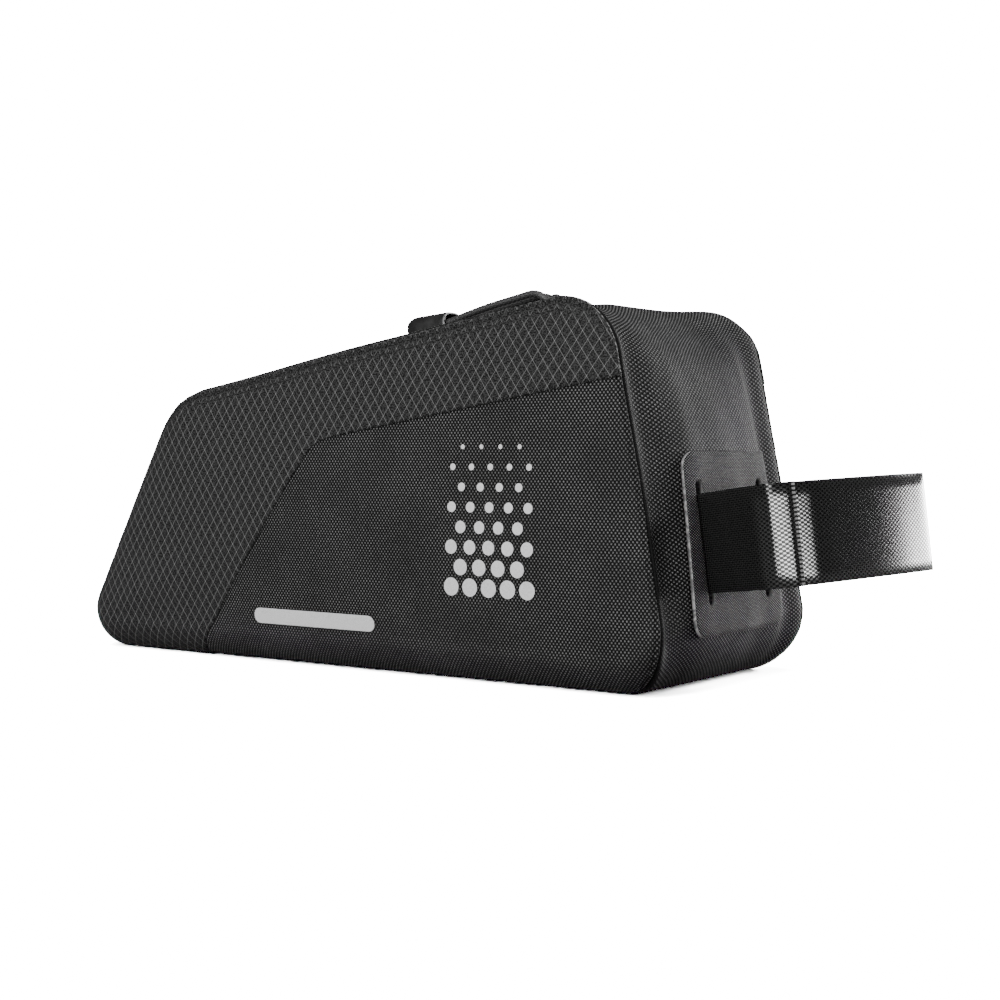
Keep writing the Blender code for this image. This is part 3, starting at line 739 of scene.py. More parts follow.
def side_rows(side, lift):
    stations = STATIONS if side < 0 else FAR_STATIONS
    rows = []
    for rim in RIM_ROWS:
        rows.append([side_arc_point(s, side, rim.distance, rim.depth, lift) for s in stations])
    last = RIM_ROWS[-1].distance
    for step in range(1, ARC_ROWS):
        row = []
        for station in stations:
            form = form_at(station.shares)
            arc = math.radians(form.turn) * SIDE_ROUNDING * form.rounding
            row.append(
                side_arc_point(station, side, last + (arc - last) * step / ARC_ROWS, 0.0, lift)
            )
        rows.append(row)
    for step in range(FIELD_ROWS):
        drawn_in = FIELD_END * (step / (FIELD_ROWS - 1)) ** FIELD_CROWDING
        rows.append([side_field_point(s, side, drawn_in, lift) for s in stations])
    return rows


# %% [markdown]
# ## Panel and yoke
# Two cloths share each side, and the yoke lies over the panel's edge. Their border is straight
# along the top, straight down the slant, and rounded between. Both are cut from the same
# surface by planes that touch that border: what is inside all the planes is the panel, and
# the rest is the yoke, lifted by its own thickness.

# %% Cut the side in two
YOKE_DROP = 0.0227
YOKE_FOOT = 0.0545
YOKE_SLANT = math.radians(35.9)
YOKE_CORNER_RADIUS = 0.013
YOKE_LIFT = 0.00025
BORDER_STEPS = 9
SIDE_THICKNESS = 0.0014
# The upward lean of the normal over which the yoke's painted thread shade fades in.
THREAD_SHADE_FROM = 0.06
THREAD_SHADE_REACH = 0.30


def border_planes():
    """Points and normals of the planes that touch the panel's border, from level to slant."""
    corners = body_corners()
    top = Vector((corners[2].x - corners[3].x, corners[2].z - corners[3].z)).normalized()
    level_out = Vector((-top.y, top.x))
    slant = Vector((math.sin(YOKE_SLANT), math.cos(YOKE_SLANT)))
    slant_out = Vector((-slant.y, slant.x))
    on_level = Vector((corners[3].x, corners[3].z)) - level_out * YOKE_DROP
    on_slant = Vector((corners[0].x + YOKE_FOOT, 0.0))
    inside_level = on_level - level_out * YOKE_CORNER_RADIUS
    inside_slant = on_slant - slant_out * YOKE_CORNER_RADIUS
    gap = inside_slant - inside_level
    share = (gap.x * slant.y - gap.y * slant.x) / (top.x * slant.y - top.y * slant.x)
    centre = inside_level + top * share
    turn = level_out.angle_signed(slant_out)
    planes = []
    for step in range(BORDER_STEPS + 1):
        out = Matrix.Rotation(-turn * step / BORDER_STEPS, 2) @ level_out
        touch = centre + out * YOKE_CORNER_RADIUS
        planes.append((Vector((touch.x, 0.0, touch.y)), Vector((out.x, 0.0, out.y))))
    return planes


def in_panel(point):
    return all((point - touch).dot(out) < 0 for touch, out in border_planes())


def mark_thread_shade(bm):
    """A number on each point, 1 where the side turns up into the top seam: painted thread shade."""
    rim = bm.verts.layers.float.new("rim")
    bm.normal_update()
    for vert in bm.verts:
        vert[rim] = smooth((vert.normal.z - THREAD_SHADE_FROM) / THREAD_SHADE_REACH)


def dress_side(side, word):
    for name, lift, material, slot in (
        ("panel", 0.0, NYLON, "woven_nylon"),
        ("yoke", YOKE_LIFT, RIPSTOP_NYLON, "ripstop_nylon"),
    ):
        bm = rows_of_cloth(side_rows(side, lift), close_last=True)
        is_panel = name == "panel"
        for touch, out in border_planes():
            bmesh.ops.bisect_plane(
                bm,
                geom=[*bm.verts, *bm.edges, *bm.faces],
                dist=1e-6,
                plane_co=touch,
                plane_no=out,
                clear_outer=is_panel,
            )
        if not is_panel:
            inside = [face for face in bm.faces if in_panel(face.calc_center_median())]
            bmesh.ops.delete(bm, geom=inside, context="FACES")
        turn_out(bm, Vector((0.0, side, 0.0)))
        unwrap(bm)
        mark_thread_shade(bm)
        piece = add_piece(f"{name}_cloth_{word}", bm, (material,), slot, f"side_{name}_{word}")
        thicken(piece, SIDE_THICKNESS)


for side, word in ((-1, "right"), (1, "left")):
    dress_side(side, word)

# %% [markdown]
# ## The gusset
# One long strip joins the two sides all the way round. It is sunk a little below the sides'
# lips. Along the tall end the strip is drawn into a valley beside the near seam and bulges in
# the middle, and its top corner has slumped; along the top it is lightly crowned. It is lofted
# from one seam to the other, and its rows pass from the near line over the middle one to the
# far one.

# %% The gusset's surface
CLEARANCE = 0.0003
SEAM_STEPS = 5
GUSSET_COLUMNS = 26
GROOVE_REACH = 0.36
BELLY_SKEW = 1.35
SAG_REACH = 1.25
CORNER_SLUMP = 0.0024
SLUMP_FROM = 0.7
SLUMP_REACH = 1.6
GUSSET_THICKNESS = 0.0016
VALLEY_DEPTH = 0.0022
VALLEY_AT = 0.0045
VALLEY_END = 0.0145
VALLEY_REACH = 0.0220
PATCH_STIFFNESS = 0.45
SET_BACK_ACROSS = 0.0150
DRAWN_IN_TO = 0.95
DRAWN_IN_FADE = 1.2
FOLD_DEPTH = 0.0006
FOLD_FADE = 0.010
NARROW_SHARE = 0.6
NARROW_FOLDS = (120.0, 26.0)
BROAD_FOLDS = (45.0, 30.0)


def belly(station):
    height = min(max(station.z / TALL_HEIGHT, 0.0), 1.0)
    full = TALL_BELLY * math.sin(math.pi * height**BELLY_SKEW)
    corner = body_corners()[TALL_EDGE + 1]
    away = math.hypot(station.x - corner.x, station.z - corner.z) / CORNER_RADII[TALL_EDGE + 1]
    sag = TALL_TOP_SAG * (1 - smooth(away / SAG_REACH))
    slump = CORNER_SLUMP * (1 - smooth((away - SLUMP_FROM) / SLUMP_REACH))
    return station.shares[TALL_EDGE] * full - sag - slump


def gusset_outward(form, rise, across_share):
    inward = 1 - across_share
    step = WALL * form.step
    groove = SEAM_GROOVE * form.groove * smooth(2 * inward / GROOVE_REACH)
    if inward > GROOVE_REACH / 2:
        groove = SEAM_GROOVE * form.groove * smooth(2 - 2 * inward / GROOVE_REACH)
    return -step + (rise + step) * smooth(inward / form.reach) - groove


def seam_point(station):
    """(outward, across) where the gusset meets the side."""
    form = form_at(station.shares)
    rounding = SIDE_ROUNDING * form.rounding
    radius = rounding - WALL * form.step
    angle = math.radians(form.turn) + CLEARANCE / (radius - WALL)
    return (
        radius * math.sin(angle) - rounding,
        half_width(station.z) - rounding + radius * math.cos(angle),
    )


def drawn_in_share(station, side):
    """How far the gusset is drawn in at the near seam: all along the tall end and a little
    way on to the top."""
    if side > 0:
        return 0.0
    share = station.shares[TALL_EDGE]
    if station.shares[TOP_EDGE] > 0:
        corner = body_corners()[TALL_EDGE + 1]
        away = math.hypot(station.x - corner.x, station.z - corner.z)
        past = away / CORNER_RADII[TALL_EDGE + 1] - DRAWN_IN_TO
        share = max(share, 1 - smooth(past / DRAWN_IN_FADE))
    return share


def valley(inward, low, middle, depth):
    """Height of the drawn-in profile at a distance inward from the seam."""
    rise = (middle - low) * smooth((inward - VALLEY_AT / 2) / VALLEY_REACH)
    dip = smooth(inward / VALLEY_AT) * (1 - smooth((inward - VALLEY_AT) / VALLEY_END))
    return low + rise - depth * dip


def fold(place, inward):
    """Soft folds that run up the tall end, wide apart and shallow."""
    narrow = noise.noise(Vector((place.y * NARROW_FOLDS[0], place.z * NARROW_FOLDS[1], 0.0)))
    broad = noise.noise(Vector((place.y * BROAD_FOLDS[0], place.z * BROAD_FOLDS[1], 7.0)))
    return FOLD_DEPTH * (narrow * NARROW_SHARE + broad) * smooth(inward / FOLD_FADE)


def gusset_point(station, side, outward, across, depth=VALLEY_DEPTH):
    """A point of the gusset from its plain profile, drawn in beside the seam where that is due."""
    low, seam_across = seam_point(station)
    inward = seam_across - across
    middle = GUSSET_CROWN * form_at(station.shares).rise + belly(station)
    outward += (valley(inward, low, middle, depth) - outward) * drawn_in_share(station, side)
    folded = fold(placed(station, outward, side * across), inward)
    return placed(station, outward + folded * station.shares[TALL_EDGE], side * across)


def gusset_half(station):
    """(outward, across) of the plain profile, from the seam to the middle."""
    form = form_at(station.shares)
    rounding = SIDE_ROUNDING * form.rounding
    radius = rounding - WALL * form.step
    seam = math.radians(form.turn) + CLEARANCE / (radius - WALL)
    points = []
    for step in range(SEAM_STEPS + 1):
        angle = seam + (math.pi / 2 - seam) * step / SEAM_STEPS
        across = half_width(station.z) - rounding + radius * math.cos(angle)
        points.append((radius * math.sin(angle) - rounding, across))
    rise = GUSSET_CROWN * form.rise + belly(station)
    for column in range(1, GUSSET_COLUMNS + 1):
        share = 1 - column / GUSSET_COLUMNS
        across = share * (half_width(station.z) - rounding)
        points.append((gusset_outward(form, rise, share), across))
    return points


# %% [markdown]
# Each row is one way round the bag at one distance from a seam. The plain profile is worked
# out for the middle line, and each point is then moved towards the near or the far line by
# how close it lies to that side.

# %% Rows of the gusset
def gusset_rows():
    """Rows from the near seam to the far one. The outline changes from the near side's to the
    far side's on the way."""
    rows = []
    halves = [gusset_half(station) for station in MIDDLE_STATIONS]
    count = len(halves[0])
    from_seam = [0.0]
    for first, last in zip(halves[0], halves[0][1:]):
        from_seam.append(from_seam[-1] + math.dist(first, last))
    order = [(i, -1) for i in range(count)] + [(i, 1) for i in range(count - 2, -1, -1)]
    for i, side in order:
        row = []
        for near, middle, far, half in zip(STATIONS, MIDDLE_STATIONS, FAR_STATIONS, halves):
            outward, across = half[i]
            place = gusset_point(middle, side, outward, across)
            to_near = smooth(1 - (half_width(middle.z) + side * across) / SET_BACK_ACROSS)
            to_far = smooth(side * across / half_width(middle.z))
            place.x += (near.x - middle.x) * to_near + (far.x - middle.x) * to_far
            place.z += (near.z - middle.z) * to_near + (far.z - middle.z) * to_far
            row.append((place, near.run, side * across, from_seam[i]))
        rows.append(row)
    return rows


# %% [markdown]
# The zip needs a real opening in the top. Four planes cut the faces along its sides, and the
# faces between them are taken out.

# %% The zip's opening
def top_frame():
    """Along, across and up axes on the line of the top edge, from the short corner."""
    corners = body_corners()
    along = Vector((corners[2].x - corners[3].x, 0.0, corners[2].z - corners[3].z)).normalized()
    up = Vector((-along.z, 0.0, along.x))
    axes = Matrix((along, Vector((0.0, 1.0, 0.0)), up)).transposed().to_4x4()
    axes.translation = Vector((corners[3].x, 0.0, corners[3].z))
    return axes


ZIP_START = 0.0200
ZIP_LENGTH = 0.1040
ZIP_OPENING = 0.0080


def cut_zip_opening(bm):
    """Cuts along the four lines of the opening, near it only, and takes out what is inside."""
    axes = top_frame()
    to_top = axes.inverted()
    half = ZIP_OPENING / 2
    margin = 0.004

    def near(face):
        place = to_top @ face.calc_center_median()
        along = ZIP_START - margin < place.x < ZIP_START + ZIP_LENGTH + margin
        return along and abs(place.y) < half + margin and place.z > -margin

    for point, way in (
        ((ZIP_START, 0, 0), (1, 0, 0)),
        ((ZIP_START + ZIP_LENGTH, 0, 0), (1, 0, 0)),
        ((0, -half, 0), (0, 1, 0)),
        ((0, half, 0), (0, 1, 0)),
    ):
        faces = [face for face in bm.faces if near(face)]
        edges = {edge for face in faces for edge in face.edges}
        verts = {vert for face in faces for vert in face.verts}
        bmesh.ops.bisect_plane(
            bm,
            geom=[*verts, *edges, *faces],
            dist=1e-6,
            plane_co=axes @ Vector(point),
            plane_no=axes.to_3x3() @ Vector(way),
        )
    gone = []
    for face in bm.faces:
        place = to_top @ face.calc_center_median()
        along = ZIP_START < place.x < ZIP_START + ZIP_LENGTH
        if along and abs(place.y) < half and place.z > -margin:
            gone.append(face)
    bmesh.ops.delete(bm, geom=gone, context="FACES")


# %% Make the gusset
gusset_mesh = rows_of_cloth(gusset_rows(), close_last=False)
turn_out(gusset_mesh, Vector((1.0, 0.0, 0.0)))
cut_zip_opening(gusset_mesh)
unwrap(gusset_mesh, wrap=PERIMETER)
gusset = add_piece("gusset_cloth", gusset_mesh, (GUSSET_NYLON,), "woven_nylon", "gusset")
thicken(gusset, GUSSET_THICKNESS)

# %% [markdown]
# ## The strap patch
# A square of finer cloth is laid on the tall end to carry the strap's pull. It starts as a
# grid, whose square corners are drawn in to arcs, and each point is then put on the gusset's
# surface, so the patch follows the bulge under it. It lies a little aside and askew, as in the
# photo, and it is stiffer than the gusset, so it bridges part of the valley.

# %% A sheet with round corners
PATCH_WIDTH = 0.0450
PATCH_LENGTH = 0.0450
PATCH_RISE = 0.0362
PATCH_CORNER = 0.0040
PATCH_THICKNESS = 0.0009


def rounded_sheet(width, length, radius, steps):
    """A flat grid on XY with its corners drawn in to arcs."""
    bm = bmesh.new()
    bmesh.ops.create_grid(bm, x_segments=steps[0], y_segments=steps[1], size=0.5)
    inner = Vector((width / 2 - radius, length / 2 - radius))
    for vert in bm.verts:
        x, y = vert.co.x * width, vert.co.y * length
        past = Vector((max(abs(x) - inner.x, 0.0), max(abs(y) - inner.y, 0.0)))
        if past.x > 0 and past.y > 0:
            past *= max(past) / past.length
            x = math.copysign(inner.x + past.x, x)
            y = math.copysign(inner.y + past.y, y)
        vert.co = (x, y, 0.0)
    return bm


def tall_station(along):
    corner = body_corners()[1]
    shares = [0.0] * 4
    shares[TALL_EDGE] = 1.0
    x = corner.x - math.sin(TALL_LEAN) * along
    z = math.cos(TALL_LEAN) * along
    return Station(x, z, math.cos(TALL_LEAN), math.sin(TALL_LEAN), tuple(shares), along)


def tall_face(along, across, lift):
    """A point over the gusset's outer face on the tall end."""
    station = tall_station(along)
    form = EDGE_FORMS[TALL_EDGE]
    room = half_width(station.z) - SIDE_ROUNDING * form.rounding
    rise = GUSSET_CROWN * form.rise + belly(station)
    outward = gusset_outward(form, rise, abs(across) / room)
    depth = VALLEY_DEPTH * (1 - PATCH_STIFFNESS)
    place = gusset_point(station, math.copysign(1, across), outward, abs(across), depth)
    return place + Vector((station.nx, 0.0, station.nz)) * lift


PATCH_CENTRE = PATCH_RISE / math.cos(TALL_LEAN)
PATCH_LIFT = 0.00025
PATCH_SHIFT = 0.0008
PATCH_SHEAR = 0.085
PATCH_GRID = (46, 46)
patch_mesh = rounded_sheet(PATCH_WIDTH, PATCH_LENGTH, PATCH_CORNER, PATCH_GRID)
patch_uv = patch_mesh.loops.layers.uv.new("UVMap")
for face in patch_mesh.faces:
    for loop in face.loops:
        loop[patch_uv].uv = loop.vert.co.xy
for vert in patch_mesh.verts:
    across = vert.co.x + PATCH_SHIFT + PATCH_SHEAR * vert.co.y
    vert.co = tall_face(PATCH_CENTRE + vert.co.y, across, PATCH_LIFT)
turn_out(patch_mesh, Vector((1.0, 0.0, 0.0)))
patch = add_piece(
    "patch_cloth", patch_mesh, (PATCH_TWILL, CUT_EDGE), "twill_nylon", "strap_patch"
)
thicken(patch, PATCH_THICKNESS, offset=1.0, rim=1)

# %% [markdown]
# ## The slots
# The strap goes in through one slot and out through the other. A slot is a long hole with
# round ends, cut through the patch and the gusset at once: a beveled block is taken away from
# both with Boolean modifiers, which are then applied so that the block can go.

# %% Cut the slots
SLOT_SPACING = 0.0312
SLOT_WIDTH = 0.0030
SLOT_LENGTH = 0.0307
SLOT_ROUNDING = 0.48
STRAP_WIDTH = 0.0242
STRAP_LIFT = math.radians(1.2)
CUT_PAST = 0.010


def strap_frame():
    """Out, across and up axes of the strap at the middle of the patch."""
    reach = STRAP_WIDTH / 2

    def middle(along):
        station = tall_station(along)
        form = EDGE_FORMS[TALL_EDGE]
        rise = GUSSET_CROWN * form.rise + belly(station)
        return placed(station, gusset_outward(form, rise, 0.0), 0.0)

    low, high = (middle(PATCH_CENTRE + side * reach) for side in (-1, 1))
    up = Matrix.Rotation(-STRAP_LIFT, 3, "Y") @ (high - low).normalized()
    out = Vector((up.z, 0.0, -up.x))
    axes = Matrix((out, Vector((0.0, 1.0, 0.0)), up)).transposed().to_4x4()
    axes.translation = middle(PATCH_CENTRE)
    return axes


def slot_block(side):
    bm = bmesh.new()
    bmesh.ops.create_cube(bm, size=1.0)
    bmesh.ops.scale(bm, vec=(2 * CUT_PAST, SLOT_WIDTH, SLOT_LENGTH), verts=bm.verts)
    long_edges = [edge for edge in bm.edges if edge.verts[0].co.x * edge.verts[1].co.x < 0]
    bmesh.ops.bevel(
        bm, geom=long_edges, offset=SLOT_WIDTH * SLOT_ROUNDING, segments=5, affect="EDGES",
        profile=0.5, material=-1,
    )
    bmesh.ops.translate(bm, vec=(0.0, side * SLOT_SPACING / 2, 0.0), verts=bm.verts)
    bmesh.ops.transform(bm, matrix=strap_frame(), verts=bm.verts)
    return add_piece(f"slot_block_{side}", bm, (), None)


blocks = [slot_block(side) for side in (-1, 1)]
for piece in (patch, gusset):
    for block in blocks:
        cut = piece.modifiers.new("Slot", "BOOLEAN")
        cut.object = block
        cut.operation = "DIFFERENCE"
    apply_modifiers(piece)
for block in blocks:
    bpy.data.objects.remove(block, do_unlink=True)
print("slots cut through", patch.name, "and", gusset.name)

# %% [markdown]
# ## The strap
# The strap is one ribbon of webbing. It starts at the tab, goes in through the near slot,
# behind the gusset, out through the far one, round the loop, and its end is pressed on under
# the tab. A ribbon is simplest as one upright edge, extruded again and again along a smooth
# curve through the points of its way.

# %% The way of the strap
STRAP_THICKNESS = 0.0015
LOOP_REACH = 0.0410
LOOP_SPREAD = 0.0540
LAP_GAP = 0.0005
STRAP_SET_BACK = 0.0008
LAP_POINTS = 4
SLOT_TURN = 1.5
STRAP_STEPS = 10
STRAP_CUTS = 6

RoutePoint = namedtuple("RoutePoint", "reach side")
TAB_ROUTE = (
    RoutePoint(reach=0.675, side=-0.765),
    RoutePoint(reach=0.645, side=-0.860),
    RoutePoint(reach=0.570, side=-0.915),
    RoutePoint(reach=0.460, side=-0.875),
    RoutePoint(reach=0.330, side=-0.790),
    RoutePoint(reach=0.200, side=-0.690),
)
LOOP_ROUTE = (
    RoutePoint(reach=0.300, side=0.690),
    RoutePoint(reach=0.560, side=0.830),
    RoutePoint(reach=0.800, side=0.965),
    RoutePoint(reach=0.935, side=1.000),
    RoutePoint(reach=0.990, side=0.900),
    RoutePoint(reach=0.970, side=0.640),
    RoutePoint(reach=0.900, side=0.230),
    RoutePoint(reach=0.800, side=-0.230),
    RoutePoint(reach=0.715, side=-0.560),
)


def spline(points, steps):
    """Points on a smooth curve through the given ones."""
    ends = [2 * points[0] - points[1], *points, 2 * points[-1] - points[-2]]
    curve = []
    for before, first, last, after in zip(ends, ends[1:], ends[2:], ends[3:]):
        for step in range(steps):
            t = step / steps
            bend = 2 * before - 5 * first + 4 * last - after
            twist = 3 * first - before - 3 * last + after
            curve.append(0.5 * (2 * first + (last - before) * t + bend * t**2 + twist * t**3))
    return [*curve, points[-1]]


def strap_route():
    hidden = -WALL - STRAP_THICKNESS / 2 - STRAP_SET_BACK
    outside = PATCH_THICKNESS + 2 * CLEARANCE
    slot = SLOT_SPACING / 2
    tab, loop = (
        [Vector((point.reach * LOOP_REACH, point.side * LOOP_SPREAD / 2)) for point in route]
        for route in (TAB_ROUTE, LOOP_ROUTE)
    )
    behind = [
        Vector((outside, -slot)),
        Vector((hidden + STRAP_THICKNESS, -slot)),
        Vector((hidden, -slot + SLOT_TURN * STRAP_THICKNESS)),
        Vector((hidden, 0.0)),
        Vector((hidden, slot - SLOT_TURN * STRAP_THICKNESS)),
        Vector((hidden + STRAP_THICKNESS, slot)),
        Vector((outside, slot)),
    ]
    lap = []
    for i in range(LAP_POINTS):
        way = (tab[i + 1] - tab[max(i - 1, 0)]).normalized()
        inward = Vector((way.y, -way.x))
        lap.append(tab[i] + inward * (STRAP_THICKNESS + LAP_GAP))
    return [*tab, *behind, *loop, *lap]


# %% [markdown]
# The webbing is woven much coarser than the bag's cloth, in short bricks that lie along the
# strap. Its slippery yarns mirror what is round them as dark metal does, and the gaps between
# them stay black, so the weave drives the metallic value too. The tab's end is melted shut,
# which leaves a line of pale beads across it.

# %% Strap webbing
BRICK_ALONG = 0.00140
BRICK_ACROSS = 0.00104
BRICK_WANDER = 0.00012
BRICK_GREYS = (0.07, 0.12)
MELTED_WIDTH = 0.0008
MELTED_END = 0.0014
MELTED_GREYS = (0.02, 0.35)
BEAD_PITCH = 0.0005


def strap_webbing():
    material, tree, shader = new_material("Strap webbing", 0.17, specular=0.1)
    vector = uv_vector(tree)
    weave = place_group(
        tree, WEAVE, Vector=vector, **{
            "Along Pitch": BRICK_ALONG, "Across Pitch": BRICK_ACROSS, "Widen": 1.8,
            "Wander": BRICK_WANDER, "Dot Size": 0.80,
        }
    )
    uneven = place_group(tree, UNEVENNESS, Vector=vector)
    bricks = mix_colour(tree, uneven.outputs["Speckle"], *(grey(value) for value in BRICK_GREYS))
    woven = mix_colour(tree, weave.outputs["Dots"], grey(0.002), bricks)
    apart = tree.nodes.new("ShaderNodeSeparateXYZ")
    tree.links.new(vector, apart.inputs[0])
    at_end = ramp(tree, apart.outputs[0], MELTED_WIDTH, MELTED_END, 1.0, 0.0)
    bead = math_node(tree, "PINGPONG", apart.outputs[1], BEAD_PITCH)
    beads = ramp(tree, bead, 0.36 * BEAD_PITCH, 0.68 * BEAD_PITCH)
    melted = mix_colour(tree, beads, *(grey(value) for value in MELTED_GREYS))
    tree.links.new(mix_colour(tree, at_end, woven, melted), shader.inputs["Base Color"])
    not_melted = math_node(tree, "SUBTRACT", 1.0, at_end)
    slippery = math_node(tree, "MULTIPLY", weave.outputs["Dots"], not_melted)
    tree.links.new(slippery, shader.inputs["Metallic"])
    add_bump(tree, shader, weave.outputs["Height"], 0.000015, 0.8)
    return material


WEBBING = strap_webbing()


def ribbon(points, axes, half):
    """An upright edge extruded along the points, with its run and height as UV."""
    bm = bmesh.new()
    flat = bm.verts.layers.float_vector.new("flat")
    ends = [bm.verts.new((0.0, 0.0, height)) for height in (-half, half)]
    edges = [bm.edges.new(ends)]
    run = 0.0
    for i, point in enumerate(points):
        if i:
            ends, edges = next_ring(bm, edges)
            run += (point - points[i - 1]).length
        for vert in ends:
            height = half if vert[flat].y > 0 or (not i and vert is ends[1]) else -half
            vert.co = (point.x, point.y, height)
            vert[flat] = (run, height, 0.0)
    across = [edge for edge in bm.edges if abs(edge.verts[0].co.z - edge.verts[1].co.z) > half]
    bmesh.ops.subdivide_edges(bm, edges=across, cuts=STRAP_CUTS, use_grid_fill=True)
    bmesh.ops.transform(bm, matrix=axes, verts=bm.verts)
    return bm


STRAP_EDGE = 0.0004
STRAP_EDGE_ANGLE = math.radians(50)
strap_mesh = ribbon(spline(strap_route(), STRAP_STEPS), strap_frame(), STRAP_WIDTH / 2)
unwrap(strap_mesh)
strap = add_piece("strap_webbing", strap_mesh, (WEBBING,), "strap_webbing", "strap")
thicken(strap, STRAP_THICKNESS, offset=0.0)
soften = strap.modifiers.new("Soft edges", "BEVEL")
soften.width = STRAP_EDGE
soften.segments = 2
soften.limit_method = "ANGLE"
soften.angle_limit = STRAP_EDGE_ANGLE

# %% [markdown]
# ## The zip
# The photo shows the zip only edge on, so its tapes, coil and slider are made as on any coil
# zip of this size. The tapes are thin strips under the opening's edges. The closed coil reads
# as two rows of short rods that lock into each other, and a rod is a stretched sphere, which
# costs few faces.

# %% Zip cloth, plastic and paint
TAPE_WIDTH = 0.0090
TAPE_THICKNESS = 0.0007
TAPE_END = 0.0030
TAPE_EDGE = 0.0002
COIL_WIDTH = 0.0032
COIL_HEIGHT = 0.0018
TAPE_TOP = GUSSET_CROWN - WALL - CLEARANCE


def plain_plastic(name, colour, roughness, bump_scale, bump_depth):
    """A moulded or painted surface: one dark colour, with its gloss broken by fine handling."""
    material, tree, shader = new_material(name, roughness)
    vector = tree.nodes.new("ShaderNodeTexCoord").outputs["Object"]
    grain = noise_value(tree, vector, bump_scale, 3.0)
    uneven = noise_value(tree, vector, 220.0, 2.0)
    shade = mix_colour(tree, uneven, grey(colour * 0.7), grey(colour * 1.4))
    handled = ramp(tree, uneven, 0.3, 0.7, roughness * 0.8, roughness * 1.25)
    tree.links.new(shade, shader.inputs["Base Color"])
    tree.links.new(handled, shader.inputs["Roughness"])
    add_bump(tree, shader, grain, bump_depth, 0.5)
    return material


TAPE_CLOTH = woven_nylon("Zip tape", 0.00070, 0.00050, ground=0.006, dot=0.035, dot_size=0.8)
COIL_PLASTIC = plain_plastic("Zip coil", 0.012, 0.40, bump_scale=2500.0, bump_depth=0.00003)
SLIDER_PAINT = plain_plastic("Painted slider", 0.012, 0.34, bump_scale=1800.0, bump_depth=0.00003)
CAP_PLASTIC = plain_plastic("Moulded cap", 0.006, 0.36, bump_scale=1500.0, bump_depth=0.00002)


def block(low, high, axes, bevel, segments):
    """A block between two corners, with its edges beveled, placed by its axes."""
    bm = bmesh.new()
    bmesh.ops.create_cube(bm, size=1.0)
    bmesh.ops.scale(bm, vec=[b - a for a, b in zip(low, high)], verts=bm.verts)
    bmesh.ops.translate(bm, vec=[(a + b) / 2 for a, b in zip(low, high)], verts=bm.verts)
    bmesh.ops.bevel(
        bm, geom=bm.edges[:], offset=bevel, segments=segments, affect="EDGES", profile=0.5,
        material=-1,
    )
    bmesh.ops.transform(bm, matrix=axes, verts=bm.verts)
    return bm


def map_from_top(bm):
    """UV in metres along and across the top, for cloth that lies flat there."""
    to_top = top_frame().inverted()
    uv = bm.loops.layers.uv.new("UVMap")
    for face in bm.faces:
        for loop in face.loops:
            loop[uv].uv = (to_top @ loop.vert.co).xy


for side, word in ((-1, "right"), (1, "left")):
    inner = COIL_WIDTH / 2 + CLEARANCE
    edges = sorted((side * inner, side * (inner + TAPE_WIDTH)))
    tape = block(
        (ZIP_START - TAPE_END, edges[0], TAPE_TOP - TAPE_THICKNESS),
        (ZIP_START + ZIP_LENGTH + TAPE_END, edges[1], TAPE_TOP),
        top_frame(), bevel=TAPE_EDGE, segments=2,
    )
    map_from_top(tape)
    add_piece(f"tape_cloth_{word}", tape, (TAPE_CLOTH,), "zip_tape", f"zip_tape_{word}")

# %% The coil
COIL_PITCH = 0.00130
COIL_INSET = 0.0005
ROD_LENGTH = 0.0026
ROD_WIDTH = 0.00118


def coil_mesh():
    bm = bmesh.new()
    count = int((ZIP_LENGTH - 2 * COIL_INSET) / COIL_PITCH)
    middle = TAPE_TOP - TAPE_THICKNESS / 2
    for i in range(2 * count):
        side = 1 if i % 2 else -1
        rod = bmesh.ops.create_uvsphere(bm, u_segments=8, v_segments=6, radius=0.5)["verts"]
        bmesh.ops.scale(bm, vec=(ROD_WIDTH, ROD_LENGTH, COIL_HEIGHT), verts=rod)
        along = ZIP_START + COIL_INSET + (i + 0.5) * COIL_PITCH / 2
        across = side * (COIL_WIDTH - ROD_LENGTH) / 2
        bmesh.ops.translate(bm, vec=(along, across, middle), verts=rod)
    bmesh.ops.transform(bm, matrix=top_frame(), verts=bm.verts)
    return bm


add_piece("coil_teeth", coil_mesh(), (COIL_PLASTIC,), "zip_coil", "zip_coil")

# %% [markdown]
# ## The slider
# A plate rides over the coil, and an upright bridge on it holds the cord. The bridge is a bent
# bar, so a small square is spun through half a turn and its two feet are drawn down into the
# plate.

# %% Slider plate and bridge
SLIDER_LENGTH = 0.0090
SLIDER_WIDTH = 0.0068
SLIDER_PLATE = 0.0010
PLATE_ROUNDING = 0.35
EYE_WIDTH = 0.0014
EYE_WIRE = 0.0011
EYE_LENGTH = 0.0034
EYE_PLAY = 0.0026
EYE_SIDES = 12
EYE_STEPS = 12
CORD_DIAMETER = 0.0020
EYE_PLACE = ZIP_START + ZIP_LENGTH - SLIDER_LENGTH
EYE_ROOM = CORD_DIAMETER + 2 * CLEARANCE + EYE_PLAY
PLATE_TOP = TAPE_TOP + (COIL_HEIGHT - TAPE_THICKNESS) / 2 + CLEARANCE + SLIDER_PLATE


